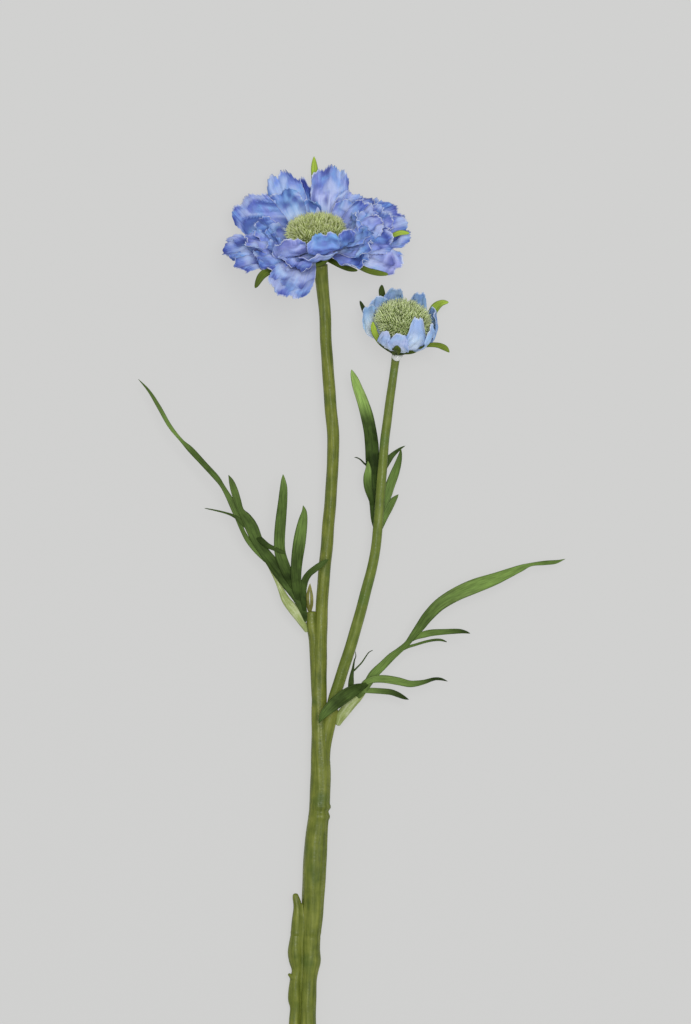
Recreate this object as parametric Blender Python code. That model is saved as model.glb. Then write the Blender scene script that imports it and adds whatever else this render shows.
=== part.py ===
"""A cut spray of blue scabiosa lying on a table: an open bloom and a half-open one on a forked stem.

Lengths are in millimetres until a mesh is made, and angles in degrees. The table is z = 0, +Y runs up
the stem to the bloom, and the origin is under the middle of the spray's own box.
"""

import math

import bpy
import numpy as np

MM = 0.001

# Driving sizes
BLADE = 0.8
BRACT_BLADE = 0.7
GAP = 0.35
TABLE = 0.0

# The main stem as x, y, z of its centre and its radius, from the cut end to the bloom
MAIN_STEM = (
    (-16.4, -185.0, 3.02, 3.15),
    (-16.4, -165.0, 3.02, 3.15),
    (-16.4, -146.0, 3.1, 3.1),
    (-16.1, -134.0, 3.6, 3.0),
    (-15.9, -127.0, 3.9, 3.1),
    (-15.3, -118.5, 4.4, 3.4),
    (-15.0, -110.8, 4.8, 3.4),
    (-14.7, -101.0, 5.3, 4.0),
    (-14.1, -85.3, 6.0, 4.2),
    (-12.5, -63.3, 6.8, 3.8),
    (-11.8, -42.0, 7.5, 3.8),
    (-12.2, -22.2, 8.2, 3.0),
    (-12.0, -2.9, 9.0, 2.8),
    (-11.4, 12.3, 9.6, 2.3),
    (-10.3, 27.6, 10.2, 2.3),
    (-8.9, 42.0, 10.7, 2.3),
    (-7.4, 63.6, 11.6, 2.3),
    (-7.0, 77.0, 12.1, 2.4),
    (-8.2, 94.0, 12.7, 2.35),
    (-9.5, 111.2, 13.2, 2.2),
    (-10.3, 127.0, 13.8, 2.25),
    (-11.3, 138.0, 14.8, 2.5),
    (-11.8, 143.2, 16.0, 2.8),
)
# A second strand grown along the left of the lower stem, ending in a blunt stub
SIDE_STRAND = (
    (-21.6, -185.0, 2.35, 2.5),
    (-21.6, -150.0, 2.6, 2.45),
    (-21.5, -134.0, 3.2, 2.35),
    (-21.2, -127.6, 3.6, 2.0),
    (-21.3, -119.0, 4.1, 2.7),
    (-21.0, -111.0, 4.5, 2.3),
    (-20.7, -103.5, 5.0, 1.9),
    (-21.2, -98.8, 5.3, 1.5),
    (-21.5, -96.9, 5.4, 1.0),
)
# A small spur on that strand, where it is pinched
SPUR = ((-21.4, -130.0, 3.6, 1.6), (-22.8, -128.0, 3.8, 1.2), (-23.8, -126.9, 4.0, 0.5))
# Swellings fused to the main stem: the fork under the side stem, and the strand that bears the left leaf
FORK = (
    (-11.4, -46.0, 7.4, 2.8),
    (-10.0, -38.0, 7.6, 3.6),
    (-8.4, -30.0, 7.8, 3.5),
    (-7.6, -26.4, 8.0, 2.9),
)
LEAF_STUB = (
    (-13.2, -24.0, 8.4, 1.8),
    (-13.9, -10.0, 8.8, 2.1),
    (-14.1, 0.0, 9.0, 2.0),
    (-14.7, 8.0, 9.2, 1.8),
    (-15.0, 11.2, 9.3, 1.75),
)
# Raised joints round the stem, each as its place along Y and its ring's half width and height
STEM_JOINTS = ((-66.3, 1.4, 0.45), (-62.3, 1.2, 0.35), (-110.8, 1.2, 0.35))
JOINT_EDGES = (-1.5, 0.0, 1.5)

# Rings along each strand and sides round it
ROUTE_STEPS = 16
MAIN_STEM_GRID = (36, 10)
SIDE_STRAND_GRID = (16, 8)
SPUR_GRID = (4, 6)
FORK_GRID = (6, 10)
LEAF_STUB_GRID = (6, 8)
SIDE_STEM_GRID = (26, 8)
LEFT_STALK_GRID = (9, 7)
RIGHT_STALK_GRID = (8, 7)

SIDE_STEM = (
    (-8.6, -30.4, 7.7, 2.1),
    (-6.9, -22.2, 8.4, 2.2),
    (-4.4, -14.2, 9.2, 2.2),
    (1.3, 3.8, 10.4, 2.2),
    (5.1, 18.1, 11.0, 2.1),
    (8.6, 32.1, 11.2, 1.95),
    (9.9, 42.8, 11.2, 1.9),
    (10.6, 50.4, 11.0, 1.85),
    (12.1, 70.5, 9.8, 1.8),
    (13.1, 80.8, 8.8, 1.75),
    (14.8, 93.3, 7.0, 1.65),
    (16.3, 103.6, 5.9, 1.55),
    (17.0, 109.3, 6.8, 1.6),
)

# A leaf lobe's rows for each point of its route, its least half width and the depth of its keel
LOBE_ROWS = 1.4
LOBE_LEAST_HALF = 0.3
LOBE_KEEL = 0.25

# Leaves: each lobe is a route of x, y, z and half width, from its root in the leaf to its tip
LEFT_LEAF = {
    "rachis": (
        (-18.4, 9.4, 10.8, 1.5),
        (-23.0, 16.6, 11.4, 2.7),
        (-27.8, 25.2, 12.4, 2.9),
        (-34.0, 33.0, 13.2, 2.3),
        (-40.0, 40.8, 14.0, 1.9),
        (-44.3, 48.5, 14.6, 1.7),
        (-48.7, 57.2, 15.0, 1.2),
        (-51.6, 62.3, 15.0, 1.25),
        (-56.0, 67.7, 14.6, 1.2),
        (-61.1, 73.2, 13.8, 1.25),
        (-64.6, 76.8, 13.2, 0.6),
        (-69.1, 82.3, 12.0, 0.75),
        (-73.4, 89.9, 10.6, 0.75),
        (-77.1, 95.7, 9.6, 0.6),
        (-81.1, 100.1, 8.8, 0.3),
    ),
    "upper": (
        (-42.7, 46.0, 14.6, 1.2),
        (-43.6, 54.1, 16.0, 1.7),
        (-45.4, 59.1, 17.0, 1.5),
        (-46.7, 63.6, 17.6, 0.4),
    ),
    "folded": (
        (-43.0, 46.0, 14.6, 1.2),
        (-39.6, 42.6, 15.2, 2.6),
        (-35.0, 39.0, 15.6, 1.9),
        (-30.0, 35.8, 15.8, 0.9),
        (-25.3, 34.4, 15.8, 0.35),
    ),
    "outer": (
        (-38.0, 40.0, 13.6, 0.8),
        (-42.4, 46.5, 12.6, 0.7),
        (-47.7, 49.6, 12.0, 0.6),
        (-56.0, 51.0, 11.6, 0.35),
    ),
    "tall": (
        (-24.5, 19.5, 11.8, 1.4),
        (-25.6, 31.4, 14.0, 2.0),
        (-26.6, 40.9, 15.5, 2.1),
        (-26.6, 52.2, 17.0, 1.9),
        (-26.0, 63.7, 18.0, 0.4),
    ),
    "short": (
        (-21.5, 14.5, 11.6, 1.4),
        (-20.9, 25.6, 14.0, 1.9),
        (-19.9, 35.1, 16.0, 2.1),
        (-18.8, 44.6, 17.5, 1.8),
        (-18.3, 52.1, 18.2, 0.4),
    ),
    "hooked": (
        (-20.2, 14.5, 11.6, 1.3),
        (-18.9, 23.0, 14.5, 1.4),
        (-16.1, 27.6, 15.8, 1.3),
        (-12.7, 29.8, 16.0, 1.2),
        (-9.5, 31.4, 15.8, 0.6),
    ),
}
RIGHT_LEAF = {
    "rachis": (
        (2.4, -20.6, 11.6, 0.9),
        (4.8, -17.2, 12.0, 1.4),
        (8.6, -11.2, 12.4, 1.5),
        (13.9, -5.5, 13.0, 1.5),
        (20.2, -1.1, 13.4, 1.1),
        (25.8, 4.5, 13.8, 1.5),
        (29.1, 10.1, 14.2, 2.1),
        (33.6, 14.6, 14.4, 2.4),
        (39.7, 18.4, 14.2, 2.6),
        (46.9, 21.5, 13.8, 2.8),
        (55.3, 24.5, 12.8, 2.2),
        (63.8, 28.0, 11.4, 1.4),
        (68.2, 29.6, 10.4, 0.6),
        (73.6, 30.2, 9.2, 0.9),
        (77.8, 30.6, 8.2, 0.9),
        (81.4, 31.7, 7.2, 0.3),
    ),
    "far": (
        (23.8, 2.2, 13.6, 1.0),
        (29.8, 3.6, 14.6, 1.3),
        (37.4, 4.4, 15.0, 1.1),
        (44.8, 3.4, 14.6, 0.35),
    ),
    "slim": (
        (19.6, -1.6, 13.3, 0.8),
        (24.1, -0.2, 12.6, 0.8),
        (30.6, 0.6, 12.2, 0.8),
        (36.0, 0.0, 11.8, 0.35),
    ),
    "waved": (
        (6.5, -14.0, 12.0, 1.5),
        (11.6, -13.5, 13.4, 1.8),
        (18.8, -15.0, 14.0, 1.5),
        (24.1, -16.1, 14.0, 1.2),
        (29.8, -14.2, 13.6, 1.1),
        (36.4, -15.0, 13.0, 0.35),
    ),
    "low": (
        (3.2, -18.6, 11.6, 1.3),
        (7.8, -17.9, 10.8, 1.3),
        (14.6, -18.4, 10.0, 1.2),
        (21.6, -21.8, 9.0, 0.35),
    ),
    "turned": (
        (4.4, -17.2, 11.8, 1.6),
        (-0.6, -17.2, 14.6, 2.2),
        (-5.1, -19.9, 16.2, 2.3),
        (-8.9, -23.8, 16.6, 2.0),
        (-12.1, -29.6, 16.2, 0.4),
    ),
    "sprout": (
        (-0.9, -18.6, 14.9, 0.9),
        (-0.5, -12.7, 15.0, 0.7),
        (1.0, -3.2, 15.2, 0.35),
    ),
    "sprout_side": (
        (-0.5, -13.4, 15.0, 0.6),
        (3.2, -7.4, 15.2, 0.5),
        (8.2, -2.9, 15.4, 0.35),
    ),
}
UPPER_LEAF = {
    "rachis": (
        (9.0, 41.0, 8.6, 0.9),
        (8.2, 49.6, 7.4, 1.4),
        (7.8, 60.2, 7.0, 2.4),
        (8.2, 70.5, 7.4, 2.5),
        (7.1, 80.6, 8.6, 2.5),
        (5.3, 88.2, 9.8, 2.3),
        (2.8, 94.4, 10.8, 2.0),
        (0.2, 103.5, 11.6, 0.5),
    ),
    "front": (
        (7.4, 57.4, 7.2, 1.3),
        (5.8, 61.8, 8.6, 1.5),
        (6.6, 65.5, 10.0, 1.3),
        (6.5, 69.0, 10.8, 0.4),
    ),
    "hair": (
        (7.2, 61.0, 7.0, 0.8),
        (5.5, 67.1, 7.2, 0.6),
        (3.4, 69.2, 7.6, 0.5),
        (1.5, 70.5, 8.0, 0.35),
    ),
    "right_high": (
        (8.4, 59.0, 7.0, 1.3),
        (13.1, 68.2, 6.4, 1.5),
        (16.1, 71.6, 6.6, 1.3),
        (20.6, 74.9, 7.2, 0.35),
    ),
    "right_long": (
        (8.6, 48.0, 7.4, 1.2),
        (12.3, 56.0, 6.4, 1.6),
        (15.8, 63.6, 6.2, 1.7),
        (18.1, 69.3, 6.8, 1.3),
        (18.8, 73.8, 7.6, 0.4),
    ),
    "right_low": (
        (9.0, 42.6, 8.2, 1.2),
        (12.3, 47.3, 6.8, 1.3),
        (15.4, 51.9, 6.2, 1.4),
        (17.9, 56.3, 6.4, 0.4),
    ),
}
AXIL_BUD = {
    "left": (
        (-15.5, 11.7, 9.4, 0.6),
        (-16.6, 15.6, 9.9, 0.8),
        (-16.6, 19.4, 10.4, 0.6),
        (-16.0, 22.4, 10.8, 0.35),
    ),
    "right": (
        (-15.5, 11.7, 9.4, 0.6),
        (-14.9, 15.4, 9.9, 0.5),
        (-15.2, 18.6, 10.4, 0.5),
        (-16.0, 21.6, 10.8, 0.35),
    ),
}
# Pale leaf stalks, as x, y, z and radius
LEFT_STALK = (
    (-18.9, 6.2, 8.4, 0.9),
    (-21.6, 9.4, 8.6, 1.5),
    (-25.8, 15.6, 9.0, 1.6),
    (-29.7, 23.4, 9.9, 1.3),
    (-33.0, 29.6, 10.8, 0.7),
)
RIGHT_STALK = (
    (-4.2, -32.2, 7.4, 1.0),
    (-2.2, -28.8, 7.7, 1.8),
    (0.8, -24.6, 8.2, 2.1),
    (3.7, -20.8, 8.9, 1.5),
    (5.2, -18.6, 9.6, 0.8),
)

# A flower head: the middle of its petal disc, its lean to the left of the stem, its rise off the table
BLOOM = {"centre": (-13.0, 150.3, 19.5), "lean": 6.0, "tilt": 28.0}
BUD = {"centre": (18.1, 114.8, 10.7), "lean": -12.0, "tilt": 35.0}

# Each cushion: radius, half height, height of its middle over the petal disc, its tufts' length and the
# clearance that the petals keep from it
BLOOM_CUSHION = {"radius": 10.4, "half": 4.0, "middle": 7.0, "tuft": 1.6, "clear": 2.2}
BUD_CUSHION = {"radius": 9.4, "half": 5.2, "middle": 9.2, "tuft": 1.6, "clear": 3.0}
CUSHION_POWER = 2.6
CUSHION_BARE_BELOW = -0.25

# The disc that the petals of a head grow from, as radius and height over the middle, from below to above
DISC_SIDES = 14
BLOOM_DISC = ((5.68, -2.9), (6.6, -2.2), (6.6, -0.25), (3.63, 2.4))
BUD_DISC = ((4.3, -1.6), (5.0, -0.9), (5.0, 0.5), (2.75, 2.6))

# Petals by layer: azimuth from the right, elbow radius and height, tip radius and height, half width, twist
BLOOM_OUTER = (
    (4, 22, 0, 37.0, 0.5, 8.0, 10),
    (22, 21, 1, 36.5, 5.0, 7.0, -12),
    (40, 21, 1, 34.5, 6.0, 7.0, 10),
    (58, 20, -1, 31.5, 4.0, 8.0, 0),
    (75, 18, 3, 28.5, 20.5, 8.2, 0),
    (95, 19, 1, 27.0, 15.5, 5.0, 6),
    (111, 17, 3, 28.5, 20.0, 7.6, -6),
    (131, 20, -1, 34.0, 3.0, 8.5, 0),
    (151, 20, 2, 32.0, 14.0, 9.5, 8),
    (179, 22, 0, 36.0, 6.0, 8.5, -8),
    (200, 21, -1, 35.5, 2.5, 7.5, 8),
    (247, 20, 1, 34.5, -4.0, 9.4, 0),
    (316, 15, -1, 25.0, -4.5, 7.0, -8),
    (336, 21, -1, 35.5, -3.0, 8.5, 6),
)
BLOOM_MIDDLE = (
    (58, 17, 3, 30.0, 10.0, 9.0, 0),
    (38, 18, 2, 31.5, 9.5, 5.5, 14),
    (15, 18, 1, 30.5, 6.0, 7.0, -12),
    (352, 18, 0, 29.5, 1.5, 7.0, 10),
    (331, 18, -1, 23.0, 9.0, 7.0, 0),
    (127, 17, 2, 24.0, 13.0, 9.5, -6),
    (166, 16, 1, 23.0, 10.5, 6.0, 10),
    (186, 17, 0, 27.0, 8.0, 6.0, -8),
    (215, 17, 0, 28.0, 3.0, 7.5, 8),
    (240, 15, 0, 22.5, 2.0, 6.5, 0),
)
BLOOM_INNER = (
    (229, 18, -1, 18.0, 10.5, 7.0, 8),
    (284, 18, 0, 14.5, 12.6, 7.2, 0),
    (270, 15, 0, 19.5, 4.0, 7.5, 0),
    (315, 17, 0, 15.5, 11.0, 5.0, -8),
    (8, 18, 0, 15.0, 11.5, 4.6, 6),
    (32, 18, 1, 20.0, 9.0, 5.0, -8),
    (96, 17, 1, 17.5, 12.0, 4.8, 0),
    (190, 16, 0, 15.5, 8.5, 4.2, 8),
)
BUD_PETALS = (
    (112, 17, 0, 11.8, 15.6, 5.4, 0),
    (66, 16, 0, 11.6, 14.2, 5.0, 4),
    (34, 16, 0, 12.0, 12.6, 4.6, -6),
    (2, 16, 1, 12.0, 15.4, 5.2, 4),
    (332, 17, 1, 14.0, 9.6, 4.4, -4),
    (304, 17, 1, 10.0, 15.6, 5.8, 0),
    (264, 16, 0, 12.6, 10.4, 4.8, 6),
    (234, 17, 0, 12.6, 10.6, 4.4, -6),
    (190, 21, 1, 11.4, 15.4, 6.6, 0),
    (151, 20, 1, 12.0, 14.6, 6.6, 4),
)
# Root radius and height of each layer, ruffle height and claw share of the width
OUTER_ROOT = (5.2, -2.0, 0.9, 0.24)
MIDDLE_ROOT = (5.2, -0.3, 0.8, 0.24)
INNER_ROOT = (4.8, 1.2, 0.5, 0.35)
BUD_ROOT = (3.0, 0.6, 0.5, 0.55)
# Rows from root to tip and columns across a petal of each layer
OUTER_GRID = (4, 9)
MIDDLE_GRID = (4, 7)
INNER_GRID = (4, 5)
BUD_GRID = (4, 7)
# How a petal's tip is rounded and toothed, where it reaches its full width, and how deep it is cupped
TIP_ROUNDING = 0.16
TIP_POWER = 2.4
TOOTH_SHARE = 0.055
TOOTH_POWER = 8
FULL_WIDTH_AT = 0.85
CUP = 0.16
# The wave across a petal: half turns over its half width, the power of its growth and its drift
RUFFLE_TURNS = 2.1
RUFFLE_GROWTH = 1.4
RUFFLE_DRIFT = 1.5
# Two slighter folds, each as height and the rates at which it turns across and along the petal
FOLDS = ((0.4, 4.0, 5.0), (0.25, 7.0, -3.0))
FIRST_SEED = 7
PETAL_FACE_SHARE = 0.8

# Bracts: azimuth, elbow radius and height, tip radius and height, half width
BLOOM_BRACTS = (
    (87, 27, -4, 31.5, 23.0, 1.5),
    (224, 22, -3, 34.0, -5.5, 1.7),
    (310, 12, -5, 19.5, -4.8, 1.4),
    (325, 14, -6, 30.0, -8.3, 1.5),
    (0, 14, -5, 24.0, -4.5, 1.4),
    (45, 13, -5, 21.0, -4.0, 1.4),
    (150, 13, -5, 21.0, -3.5, 1.4),
    (190, 14, -5, 23.0, -5.0, 1.4),
)
BUD_BRACTS = (
    (126, 19, -2, 16.6, 13.4, 1.4),
    (174, 18.5, -1, 17.0, 12.4, 1.3),
    (24, 15, -1, 15.8, 15.8, 1.5),
    (334, 14, -1, 22.0, 4.6, 1.6),
    (214, 18, -3, 16.8, 8.6, 1.3),
    (272, 8, -4, 8.6, -1.6, 1.3),
    (62, 15, -4, 16.0, 6.0, 1.5),
    (91, 15, -4, 16.0, 5.0, 1.5),
)
# Where every bract leaves its receptacle, its rows, and the start, reach, least and keel of its width
BRACT_ROOT = (3.6, -4.3)
BRACT_ROWS = 5
BRACT_WIDTH = (0.2, 0.72)
BRACT_LEAST_HALF = 0.15
BRACT_KEEL = 0.2
# Receptacle of each head as radius and height over the petal disc
BLOOM_CALYX = ((2.9, -6.7), (3.6, -6.0), (5.6, -4.4), (6.2, -3.3))
BUD_CALYX = ((2.0, -5.8), (3.0, -5.0), (4.9, -3.2), (5.2, -2.0))
CALYX_SIDES = 12

# A dab of clear glue on the front of the side stem, under the half-open bloom
GLUE_CENTRE = (17.5, 108.7, 8.9)
GLUE_HALVES = (1.9, 1.4, 1.2)

# How softly a blade bends along the table, and the steepest bend between faces that is shaded smooth
TABLE_SOFTNESS = 2.0
SHARP_ANGLE = 40.0

COLOURS = {
    "stem": ((0.16, 0.21, 0.045), 0.45),
    "stalk": ((0.42, 0.48, 0.20), 0.50),
    "leaf": ((0.055, 0.13, 0.030), 0.60),
    "bract": ((0.10, 0.17, 0.035), 0.60),
    "shoot": ((0.20, 0.19, 0.045), 0.55),
    "bloom_blue": ((0.17, 0.24, 0.68), 0.75),
    "bud_blue": ((0.30, 0.44, 0.80), 0.75),
    "cushion_green": ((0.33, 0.42, 0.12), 0.85),
    "glue": ((0.80, 0.80, 0.78), 0.15),
}


def clear_scene():
    for thing in list(bpy.data.objects):
        bpy.data.objects.remove(thing)


def material(name):
    colour, roughness = COLOURS[name]
    made = bpy.data.materials.get(name) or bpy.data.materials.new(name)
    made.use_nodes = True
    shader = made.node_tree.nodes["Principled BSDF"]
    shader.inputs["Base Color"].default_value = (*colour, 1.0)
    shader.inputs["Roughness"].default_value = roughness
    shader.inputs["Metallic"].default_value = 0.0
    return made


def new_object(name, shape):
    """An object of a (points in millimetres, faces) shape."""
    points, faces = shape
    mesh = bpy.data.meshes.new(name)
    mesh.from_pydata([tuple(p) for p in np.asarray(points) * MM], [], [tuple(f) for f in faces])
    mesh.validate()
    mesh.update()
    thing = bpy.data.objects.new(name, mesh)
    bpy.context.scene.collection.objects.link(thing)
    return thing


def unit(vectors):
    vectors = np.asarray(vectors, float)
    return vectors / np.maximum(np.linalg.norm(vectors, axis=-1, keepdims=True), 1e-9)


def smooth_route(points, count, also=()):
    """A Catmull-Rom curve through the points, read at even steps of its length and at places along Y."""
    p = np.asarray(points, float)
    p = np.vstack([2 * p[0] - p[1], p, 2 * p[-1] - p[-2]])
    t = np.linspace(0.0, 1.0, ROUTE_STEPS, endpoint=False)[:, None]
    spans = [
        0.5 * (2 * b + (c - a) * t + (2 * a - 5 * b + 4 * c - d) * t**2 + (3 * b - 3 * c + d - a) * t**3)
        for a, b, c, d in zip(p, p[1:], p[2:], p[3:])
    ]
    fine = np.vstack(spans + [p[-2:-1]])
    along = np.r_[0.0, np.cumsum(np.linalg.norm(np.diff(fine[:, :3], axis=0), axis=1))]
    wanted = np.sort(np.r_[np.linspace(0.0, along[-1], count), np.interp(also, fine[:, 1], along)])
    return np.column_stack([np.interp(wanted, along, column) for column in fine.T])


def side_and_normal(centres):
    """Unit vectors across a route, level with the table, and square to both it and the route."""
    tangents = unit(np.gradient(centres, axis=0))
    side = unit(np.cross(tangents, (0.0, 0.0, 1.0)))
    return side, unit(np.cross(side, tangents))


def ring_solid(rings):
    """A closed solid through rings of equal point count, with a flat cap at each end."""
    count, sides, _ = rings.shape
    points = rings.reshape(-1, 3)
    faces = []
    for i in range(count - 1):
        for j in range(sides):
            k = (j + 1) % sides
            a, b = i * sides + j, i * sides + k
            c, d = a + sides, b + sides
            faces += [(a, b, d), (a, d, c)]
    first, last = range(sides), range((count - 1) * sides, count * sides)
    faces += [tuple(reversed(first)), tuple(last)]
    return points, faces


def tube(route, grid, grow=0.0, joints=()):
    """A round stem along a route of x, y, z and radius, with raised joints round it."""
    count, sides = grid
    edges = [y + edge * width for y, width, height in joints for edge in JOINT_EDGES]
    line = smooth_route(route, count, edges)
    centres, radii = line[:, :3], line[:, 3] + grow
    for y, width, height in joints:
        radii += height * np.exp(-(((centres[:, 1] - y) / width) ** 2))
    side, normal = side_and_normal(centres)
    turn = 2 * math.pi * (np.arange(sides) + 0.5) / sides
    rings = (
        centres[:, None]
        - radii[:, None, None] * np.sin(turn)[None, :, None] * side[:, None]
        - radii[:, None, None] * np.cos(turn)[None, :, None] * normal[:, None]
    )
    return ring_solid(rings)


def sheet_solid(middle, thickness):
    """A closed solid of one thickness about a grid of points, both faces split into triangles alike."""
    rows, columns, _ = middle.shape
    across = np.gradient(middle, axis=1)
    along = np.gradient(middle, axis=0)
    normal = unit(np.cross(across, along))
    top = (middle + normal * thickness / 2).reshape(-1, 3)
    bottom = (middle - normal * thickness / 2).reshape(-1, 3)
    size = rows * columns
    faces = []
    for i in range(rows - 1):
        for j in range(columns - 1):
            a = i * columns + j
            b, c, d = a + 1, a + columns, a + columns + 1
            split = [(a, b, d), (a, d, c)] if (i + j) % 2 else [(a, b, c), (b, d, c)]
            faces += split
            faces += [(r + size, q + size, p + size) for p, q, r in split]
    rim = (
        [j for j in range(columns)]
        + [i * columns + columns - 1 for i in range(1, rows)]
        + [(rows - 1) * columns + j for j in range(columns - 2, -1, -1)]
        + [i * columns for i in range(rows - 2, 0, -1)]
    )
    for a, b in zip(rim, rim[1:] + rim[:1]):
        faces += [(b, a, a + size), (b, a + size, b + size)]
    return np.vstack([top, bottom]), faces


def lobe(route):
    """A narrow leaf blade along a route of x, y, z and half width, keeled along its middle."""
    line = smooth_route(route, int(LOBE_ROWS * len(route)) + 1)
    centres, widths = line[:, :3], np.maximum(line[:, 3], LOBE_LEAST_HALF)
    side, normal = side_and_normal(centres)
    u = np.array([-1.0, 0.0, 1.0])
    middle = (
        centres[:, None]
        + (u * widths[:, None])[..., None] * side[:, None]
        + (LOBE_KEEL * np.abs(u) * widths[:, None])[..., None] * normal[:, None]
    )
    return sheet_solid(middle, BLADE)


def joined(name, shapes, colour):
    """One solid of several that overlap, by a Boolean union on a collection. Loose scraps are dropped."""
    thing = new_object(name, shapes[0])
    thing.data.materials.append(material(colour))
    if len(shapes) > 1:
        group = bpy.data.collections.new(name + "_pieces")
        bpy.context.scene.collection.children.link(group)
        for i, shape in enumerate(shapes[1:]):
            piece = new_object(f"{name}_piece_{i}", shape)
            bpy.context.scene.collection.objects.unlink(piece)
            group.objects.link(piece)
        union = thing.modifiers.new("join", "BOOLEAN")
        union.operation = "UNION"
        union.operand_type = "COLLECTION"
        union.collection = group
        union.solver = "EXACT"
        apply_modifiers(thing)
        for piece in list(group.objects):
            bpy.data.objects.remove(piece)
        bpy.data.collections.remove(group)
        keep_largest_body(thing.data)
    return thing


def carved(thing, cutter_shape):
    """Takes the cutter's shape out of the object, as a socket or a hollow."""
    cutter = new_object(thing.name + "_cutter", cutter_shape)
    cut = thing.modifiers.new("carve", "BOOLEAN")
    cut.operation = "DIFFERENCE"
    cut.object = cutter
    cut.solver = "EXACT"
    apply_modifiers(thing)
    bpy.data.objects.remove(cutter)
    keep_largest_body(thing.data)
    return thing


def thinned(thing, share):
    """Leaves a share of the faces, by folding up the slivers where petals cross first."""
    fold = thing.modifiers.new("thin", "DECIMATE")
    fold.ratio = share
    apply_modifiers(thing)
    return thing


def apply_modifiers(thing):
    bpy.context.view_layer.update()
    graph = bpy.context.evaluated_depsgraph_get()
    mesh = bpy.data.meshes.new_from_object(thing.evaluated_get(graph))
    thing.modifiers.clear()
    thing.data = mesh


def keep_largest_body(mesh):
    """Keeps the connected surface with the most faces, so no loose scrap or sealed hollow is left."""
    parent = list(range(len(mesh.vertices)))

    def root(i):
        while parent[i] != i:
            parent[i] = parent[parent[i]]
            i = parent[i]
        return i

    for edge in mesh.edges:
        a, b = (root(v) for v in edge.vertices)
        parent[a] = b
    owner = [root(face.vertices[0]) for face in mesh.polygons]
    largest = max(set(owner), key=owner.count)
    kept = [tuple(face.vertices) for face, body in zip(mesh.polygons, owner) if body == largest]
    used = sorted({v for face in kept for v in face})
    index = {v: i for i, v in enumerate(used)}
    points = [tuple(mesh.vertices[v].co) for v in used]
    mesh.clear_geometry()
    mesh.from_pydata(points, [], [tuple(index[v] for v in face) for face in kept])
    mesh.update()


def head_axes(head):
    """A head's own axes as rows: right, back and out of its face."""
    lean, tilt = math.radians(head["lean"]), math.radians(head["tilt"])
    right = np.array((math.cos(lean), math.sin(lean), 0.0))
    out = np.array((-math.sin(lean) * math.cos(tilt), math.cos(lean) * math.cos(tilt), math.sin(tilt)))
    return np.array((right, np.cross(out, right), out))


def placed(head, points):
    """Points in a head's own axes, put in their place in the spray."""
    return np.asarray(head["centre"]) + np.asarray(points) @ head_axes(head)


def off_cushion(points, cushion):
    """Moves points in a head's axes out of its cushion, grown all round by its clearance."""
    radius, half = cushion["radius"] + cushion["clear"], cushion["half"] + cushion["clear"]
    offset = points - np.array((0.0, 0.0, cushion["middle"]))
    across = np.linalg.norm(offset[..., :2], axis=-1) / radius
    depth = (across**CUSHION_POWER + np.abs(offset[..., 2] / half) ** CUSHION_POWER) ** (1 / CUSHION_POWER)
    grown = offset / np.clip(depth, 0.05, 1.0)[..., None]
    return points + (grown - offset)


def off_table(points, clear):
    """Bends points that would pass through the table along its surface."""
    lifted = np.array(points, float)
    lowest = TABLE + clear
    soft = TABLE_SOFTNESS
    below = np.maximum(lowest + soft - lifted[..., 2], 0.0)
    bent = lowest + soft * np.exp(-below / soft)
    lifted[..., 2] = np.where(below > 0.0, bent, lifted[..., 2])
    return lifted


def arc(line, s):
    """A point on a quadratic curve of three (radius, height) points at each share s, and its direction."""
    t = s[..., None]
    point = (1 - t) ** 2 * line[0] + 2 * t * (1 - t) * line[1] + t**2 * line[2]
    return point, unit((1 - t) * (line[1] - line[0]) + t * (line[2] - line[1]))


def swung(azimuth, radial, sideways, height):
    """Points in a head's own axes, from their distances out, sideways and up at an azimuth."""
    a = math.radians(azimuth)
    right = radial * math.cos(a) - sideways * math.sin(a)
    back = radial * math.sin(a) + sideways * math.cos(a)
    return np.stack([right, back, height], axis=-1)


def petal(head, cushion, row, root, grid, seed):
    """A ruffled petal: a fan of a curved centre line, cupped across, waved towards a toothed tip."""
    azimuth, elbow_r, elbow_a, tip_r, tip_a, half_width, twist = row
    root_r, root_a, ruffle, claw = root
    rows, columns = grid
    draw = np.random.default_rng(seed)
    u = np.linspace(-1.0, 1.0, columns)[None, :]
    v = np.linspace(0.0, 1.0, rows)[:, None]
    teeth = TOOTH_SHARE * (np.arange(columns) % 2) * draw.uniform(0.5, 1.5, columns)
    s = v * (1 - TIP_ROUNDING * np.abs(u) ** TIP_POWER) - teeth[None, :] * v**TOOTH_POWER
    line = np.array(((root_r, root_a), (elbow_r, elbow_a), (tip_r, tip_a)), float)
    centre, slope = arc(line, s)
    width = half_width * (claw + (1 - claw) * np.sin(math.pi / 2 * np.minimum(1.0, v / FULL_WIDTH_AT)))
    phases = draw.uniform(0.0, 2 * math.pi, 4)
    wave = np.sin(RUFFLE_TURNS * math.pi * u + phases[0] + RUFFLE_DRIFT * v)
    rise = CUP * width * u**2 + ruffle * v**RUFFLE_GROWTH * wave
    for (size, across, along), phase in zip(FOLDS, phases[1:]):
        rise = rise + size * v * np.sin(across * u + along * v + phase)
    turn = math.radians(twist) * v
    sideways = u * width * np.cos(turn) - rise * np.sin(turn)
    upwards = u * width * np.sin(turn) + rise * np.cos(turn)
    radial = centre[..., 0] - upwards * slope[..., 1]
    height = centre[..., 1] + upwards * slope[..., 0]
    own = off_cushion(swung(azimuth, radial, sideways, height), cushion)
    return sheet_solid(off_table(placed(head, own), BLADE / 2), BLADE)


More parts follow.
